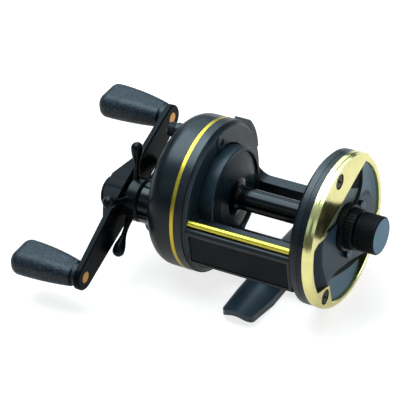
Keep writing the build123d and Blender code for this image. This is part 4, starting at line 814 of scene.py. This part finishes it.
def sculpted_cap():
    """The cap's face as a fine grid whose rim follows the outline, with a skirt below."""
    shape = CapShape()
    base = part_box("dial_side_cap")[0].x
    points, faces = cap_grid(shape, base)
    on_face = len(faces)
    add_skirt(shape, base, points, faces)
    piece = new_piece("dial_side_cap_sculpted", points, faces, "reel_frame",
                      finish_material("cap_black"), finish_material("cap_lens_grey"))
    # painted light and shade of the face, on each point
    tones = piece.data.color_attributes.new("tone", "FLOAT_COLOR", "POINT")
    for point, item in zip(points, tones.data):
        tone = shape.tone(*from_plate(point))
        item.color = (tone, tone, tone, 1.0)
    for polygon in piece.data.polygons:
        polygon.use_smooth = polygon.index < on_face
        if polygon.use_smooth and shape.lens(*from_plate(polygon.center)):
            polygon.material_index = 1
    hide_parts("dial_side_cap")


def facet_bevel():
    """Inclined gold strip from the trim's flat facet down to the lens-shaped floor."""
    rows, count = 7, 90          # points down the slope, and steps along the facet
    end_gap = 0.4                # from the strip's ends to the ring
    width, least = 3.3, 0.04     # greatest width, and the least share of it at the ends
    shift, spare = 2.0, 2.5      # widest place off the middle, and how far the ends fill out
    tuck, clear = 0.05, 0.04     # in behind the facet, and over the cap's face
    top, hollow = 3.37, 1.6      # height at the facet, and how hollow the slope is
    thickness = 0.04 * MM
    shape = CapShape()
    distance, angle = shape.facet
    way = Vector((0.0, sin(radians(angle)), -cos(radians(angle))))       # along the facet
    out = Vector((0.0, cos(radians(angle)), sin(radians(angle))))
    centre = Vector((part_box("dial_side_trim")[0].x, PLATE.y, PLATE.z))
    half = (shape.outer ** 2 - distance ** 2) ** 0.5 - end_gap
    points, faces = [], []
    for i in range(count + 1):
        u = half * (2 * i / count - 1)
        reach = width * max(least, 1 - ((u + shift) / (half + spare)) ** 2)
        for j in range(rows):
            t = j / (rows - 1)
            place = centre + (way * u + out * (distance - tuck - reach * t)) * MM
            floor = shape.height(*from_plate(place)) + clear
            slope = top - (top - shape.cup_height) * (1 - (1 - t) ** hollow)
            rise = min(top, max(floor, slope))
            points.append(Vector((place.x + rise * MM, place.y, place.z)))
        if i:
            for j in range(rows - 1):
                a, b = (i - 1) * rows + j, i * rows + j
                faces.append((a, a + 1, b + 1, b))
    piece = new_piece("facet_bevel", points, faces, "reel_frame", finish_material("gold_bevel"))
    solid = piece.modifiers.new("thickness", "SOLIDIFY")
    solid.thickness, solid.offset = thickness, -1.0


def print_on_tab(name, text, angle, size=2.3 * MM, depth=0.02 * MM, reach=10.95 * MM):
    """Small plain numbers on a tab of the dial's scale, at a reach from the spool's axis."""
    letters = bpy.data.curves.new(name, "FONT")
    letters.body = text
    letters.size = size
    letters.extrude = depth
    letters.align_x, letters.align_y = "CENTER", "CENTER"
    letters.materials.append(finish_material(name + "_print"))
    piece = bpy.data.objects.new(name, letters)
    axes = Matrix(((0, 0, 1), (1, 0, 0), (0, 1, 0))).to_4x4()     # upright, read from +X
    piece.matrix_world = Matrix.Translation(
        (TAB_FACE + depth, SPOOL.y + reach * cos(radians(angle)),
         SPOOL.z + reach * sin(radians(angle)))) @ axes
    bpy.context.scene.collection.objects.link(piece)
    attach(piece, "reel_frame")


# --- operators ---
class REEL_OT_stage(bpy.types.Operator):
    """Pale floor, soft light and the camera"""

    bl_idname = "reel.stage"
    bl_label = "Stage"

    # the sky's colours at heights from 0, level and below, to 1, straight overhead
    sky_stops = ((0.0, (0.03, 0.05, 0.06, 1.0)), (0.25, (0.05, 0.08, 0.10, 1.0)),
                 (0.60, (0.20, 0.32, 0.40, 1.0)), (1.0, (0.80, 0.95, 1.0, 1.0)))
    # each softbox's place from the aim and its side, in metres, and its share of the key
    softboxes = (("softbox_top", (-0.30, 0.12, 0.95), 0.85, 2.00),
                 ("softbox_back", (-0.40, 0.72, 0.60), 0.75, 0.34),
                 ("softbox_front", (-0.45, -0.78, 0.52), 0.35, 0.03),
                 ("softbox_right", (0.95, 0.20, 0.35), 0.40, 0.22),
                 ("softbox_low", (0.95, -0.42, 0.20), 0.45, 0.12))

    def execute(self, context):
        stage = context.scene.reel_stage
        self.floor(context.scene, stage)
        self.sky(context.scene, stage)
        self.lamps(context.scene, stage)
        self.camera(context.scene, stage)
        context.scene.view_settings.view_transform = "Standard"
        return {"FINISHED"}

    def floor(self, scene, stage):
        """A plain pale floor under the foot, which keeps the reel's shadow."""
        half = stage.floor_size / 2
        level = CAD_BOX[0][2]
        corners = [(-half, -half, level), (half, -half, level), (half, half, level),
                   (-half, half, level)]
        mesh = bpy.data.meshes.new("floor")
        mesh.from_pydata(corners, [], [(0, 1, 2, 3)])
        floor = bpy.data.objects.new("floor", mesh)
        scene.collection.objects.link(floor)
        shading = Shading("floor_white", stage.floor, roughness=0.9, specular=0.0)
        lift = shading.math("MULTIPLY", self.seen(shading, stage.floor_gloss), stage.floor_lift)
        shading.set(**{"Emission Color": WHITE, "Emission Strength": lift})
        mesh.materials.append(shading.material)

    def seen(self, nodes, share):
        """1 where the camera looks straight on, and a share of it in gloss and glass."""
        path = nodes.add("ShaderNodeLightPath").outputs
        both = nodes.math("MAXIMUM", path["Is Glossy Ray"], path["Is Transmission Ray"])
        part = nodes.math("MULTIPLY", both, share)
        return nodes.math("MAXIMUM", path["Is Camera Ray"], part)

    def sky(self, scene, stage):
        """Soft light from all round, brighter overhead, and white where the camera sees it."""
        scene.world = bpy.data.worlds.new("studio")
        scene.world.use_nodes = True
        scene.world.node_tree.nodes.clear()
        nodes = Nodes(scene.world.node_tree)
        split = nodes.add("ShaderNodeSeparateXYZ")
        nodes.feed(split.inputs["Vector"], nodes.add("ShaderNodeTexCoord").outputs["Generated"])
        ramp = nodes.add("ShaderNodeValToRGB")
        nodes.feed(ramp.inputs["Fac"], split.outputs["Z"])
        stops = ramp.color_ramp.elements
        stops[0].position, stops[0].color = self.sky_stops[0]
        stops[1].position, stops[1].color = self.sky_stops[-1]
        for position, colour in self.sky_stops[1:-1]:
            stops.new(position).color = colour
        both = nodes.add("ShaderNodeMixShader")
        nodes.feed(both.inputs["Fac"], self.seen(nodes, stage.sky_gloss))
        for socket, colour, strength in ((both.inputs[1], ramp.outputs["Color"], stage.sky),
                                         (both.inputs[2], WHITE, 1.0)):
            light = nodes.add("ShaderNodeBackground")
            nodes.feed(light.inputs["Color"], colour)
            nodes.feed(light.inputs["Strength"], strength)
            nodes.feed(socket, light.outputs["Background"])
        output = nodes.add("ShaderNodeOutputWorld")
        nodes.feed(output.inputs["Surface"], both.outputs["Shader"])

    def lamps(self, scene, stage):
        """Cool softboxes that face the aim: overhead, behind, in front, and two on the right."""
        for name, place, side, share in self.softboxes:
            light = bpy.data.lights.new(name, "AREA")
            light.shape = "SQUARE"
            light.size = side
            light.energy = share * stage.key
            light.color = stage.tint
            lamp = bpy.data.objects.new(name, light)
            lamp.location = Vector(stage.aim) + Vector(place)
            lamp.rotation_euler = (-Vector(place)).to_track_quat("-Z", "Y").to_euler()
            scene.collection.objects.link(lamp)

    def camera(self, scene, stage):
        """The camera, at its angles round the aim."""
        data = bpy.data.cameras.new("camera")
        data.lens = stage.lens
        data.sensor_width = 36.0
        data.clip_start = 0.01
        camera = bpy.data.objects.new("camera", data)
        scene.collection.objects.link(camera)
        back = Vector((sin(stage.azimuth) * cos(stage.elevation),
                       -cos(stage.azimuth) * cos(stage.elevation), sin(stage.elevation)))
        right = Vector((cos(stage.azimuth), sin(stage.azimuth), 0.0))
        up = back.cross(right)
        turn = Matrix.Rotation(stage.roll, 3, back)
        axes = Matrix((turn @ right, turn @ up, back)).transposed().to_4x4()
        camera.matrix_world = Matrix.Translation(Vector(stage.aim) + back * stage.distance) @ axes
        scene.camera = camera


class FinishOperator:
    """Shared by the operators that give CAD nodes their finishes."""

    finishes = ()

    def execute(self, context):
        dress(self.finishes)
        return {"FINISHED"}


class REEL_OT_frame_finish(FinishOperator, bpy.types.Operator):
    """Satin black of the frame, the covers, the foot and the badge"""

    bl_idname = "reel.frame_finish"
    bl_label = "Frame and covers"
    finishes = ("satin_black_casting", "cover_black", "foot_black", "badge_black")


class REEL_OT_gold_finish(FinishOperator, bpy.types.Operator):
    """Gold of the trim, the rod and the stripe, and copper brass of the rivets"""

    bl_idname = "reel.gold_finish"
    bl_label = "Gold trim"
    finishes = ("gold_polished", "gold_rod", "gold_lacquer", "copper_brass")


class REEL_OT_handle_finish(FinishOperator, bpy.types.Operator):
    """Gloss black of the handle and the star, pebble grain of the paddles"""

    bl_idname = "reel.handle_finish"
    bl_label = "Handle and star"
    finishes = ("handle_black", "star_black", "grip_pebbled", "grip_cap_black")


class REEL_OT_spool_finish(FinishOperator, bpy.types.Operator):
    """Anodised spool"""

    bl_idname = "reel.spool_finish"
    bl_label = "Spool"
    finishes = ("spool_anodised",)


class REEL_OT_dial_finish(FinishOperator, bpy.types.Operator):
    """Dial, its collar, the dot and the plate's screws"""

    bl_idname = "reel.dial_finish"
    bl_label = "Dial"
    finishes = ("dial_black", "collar_black", "dot_enamel", "black_oxide")


class REEL_OT_inner_finish(FinishOperator, bpy.types.Operator):
    """Brass, aluminium, plastic and steel of the works inside"""

    bl_idname = "reel.inner_finish"
    bl_label = "Works inside"
    finishes = ("turned_brass", "plate_aluminium", "hidden_plastic", "turned_steel")


class REEL_OT_cap(bpy.types.Operator):
    """Sculpted black cap of the dial side"""

    bl_idname = "reel.cap"
    bl_label = "Sculpted cap"

    def execute(self, context):
        sculpted_cap()
        return {"FINISHED"}


class REEL_OT_bevel(bpy.types.Operator):
    """Inclined gold strip behind the trim's facet"""

    bl_idname = "reel.bevel"
    bl_label = "Facet bevel"

    def execute(self, context):
        facet_bevel()
        return {"FINISHED"}


class REEL_OT_numbers(bpy.types.Operator):
    """Plain numbers on the two tabs of the dial's scale"""

    bl_idname = "reel.numbers"
    bl_label = "Scale numbers"

    def execute(self, context):
        print_on_tab("scale_low", "0 5", angle=16)
        print_on_tab("scale_high", "6 9", angle=263)
        return {"FINISHED"}


class REEL_PT_panel(bpy.types.Panel):
    """Lists the reel's operators and settings"""

    bl_label = "Baitcasting Reel"
    bl_idname = "REEL_PT_panel"
    bl_space_type = "VIEW_3D"
    bl_region_type = "UI"
    bl_category = "Reel"

    def draw(self, context):
        for operator in OPERATORS:
            self.layout.operator(operator.bl_idname)
        for group in SETTINGS:
            settings = getattr(context.scene, group)
            box = self.layout.box()
            for name in settings.__annotations__:
                box.prop(settings, name)


SETTINGS = {"reel_colours": ReelColours, "reel_surface": ReelSurface, "reel_stage": ReelStage}
OPERATORS = (REEL_OT_stage, REEL_OT_frame_finish, REEL_OT_gold_finish, REEL_OT_handle_finish,
             REEL_OT_spool_finish, REEL_OT_dial_finish, REEL_OT_cap, REEL_OT_bevel,
             REEL_OT_numbers, REEL_OT_inner_finish)
CLASSES = (*SETTINGS.values(), *OPERATORS, REEL_PT_panel)


def register():
    for cls in CLASSES:
        bpy.utils.register_class(cls)
    for name, group in SETTINGS.items():
        setattr(bpy.types.Scene, name, PointerProperty(type=group))


def unregister():
    for name in SETTINGS:
        delattr(bpy.types.Scene, name)
    for cls in reversed(CLASSES):
        bpy.utils.unregister_class(cls)


def main():
    register()
    for operator in OPERATORS:
        area, action = operator.bl_idname.split(".")
        getattr(getattr(bpy.ops, area), action)()


if __name__ == "__main__":
    main()
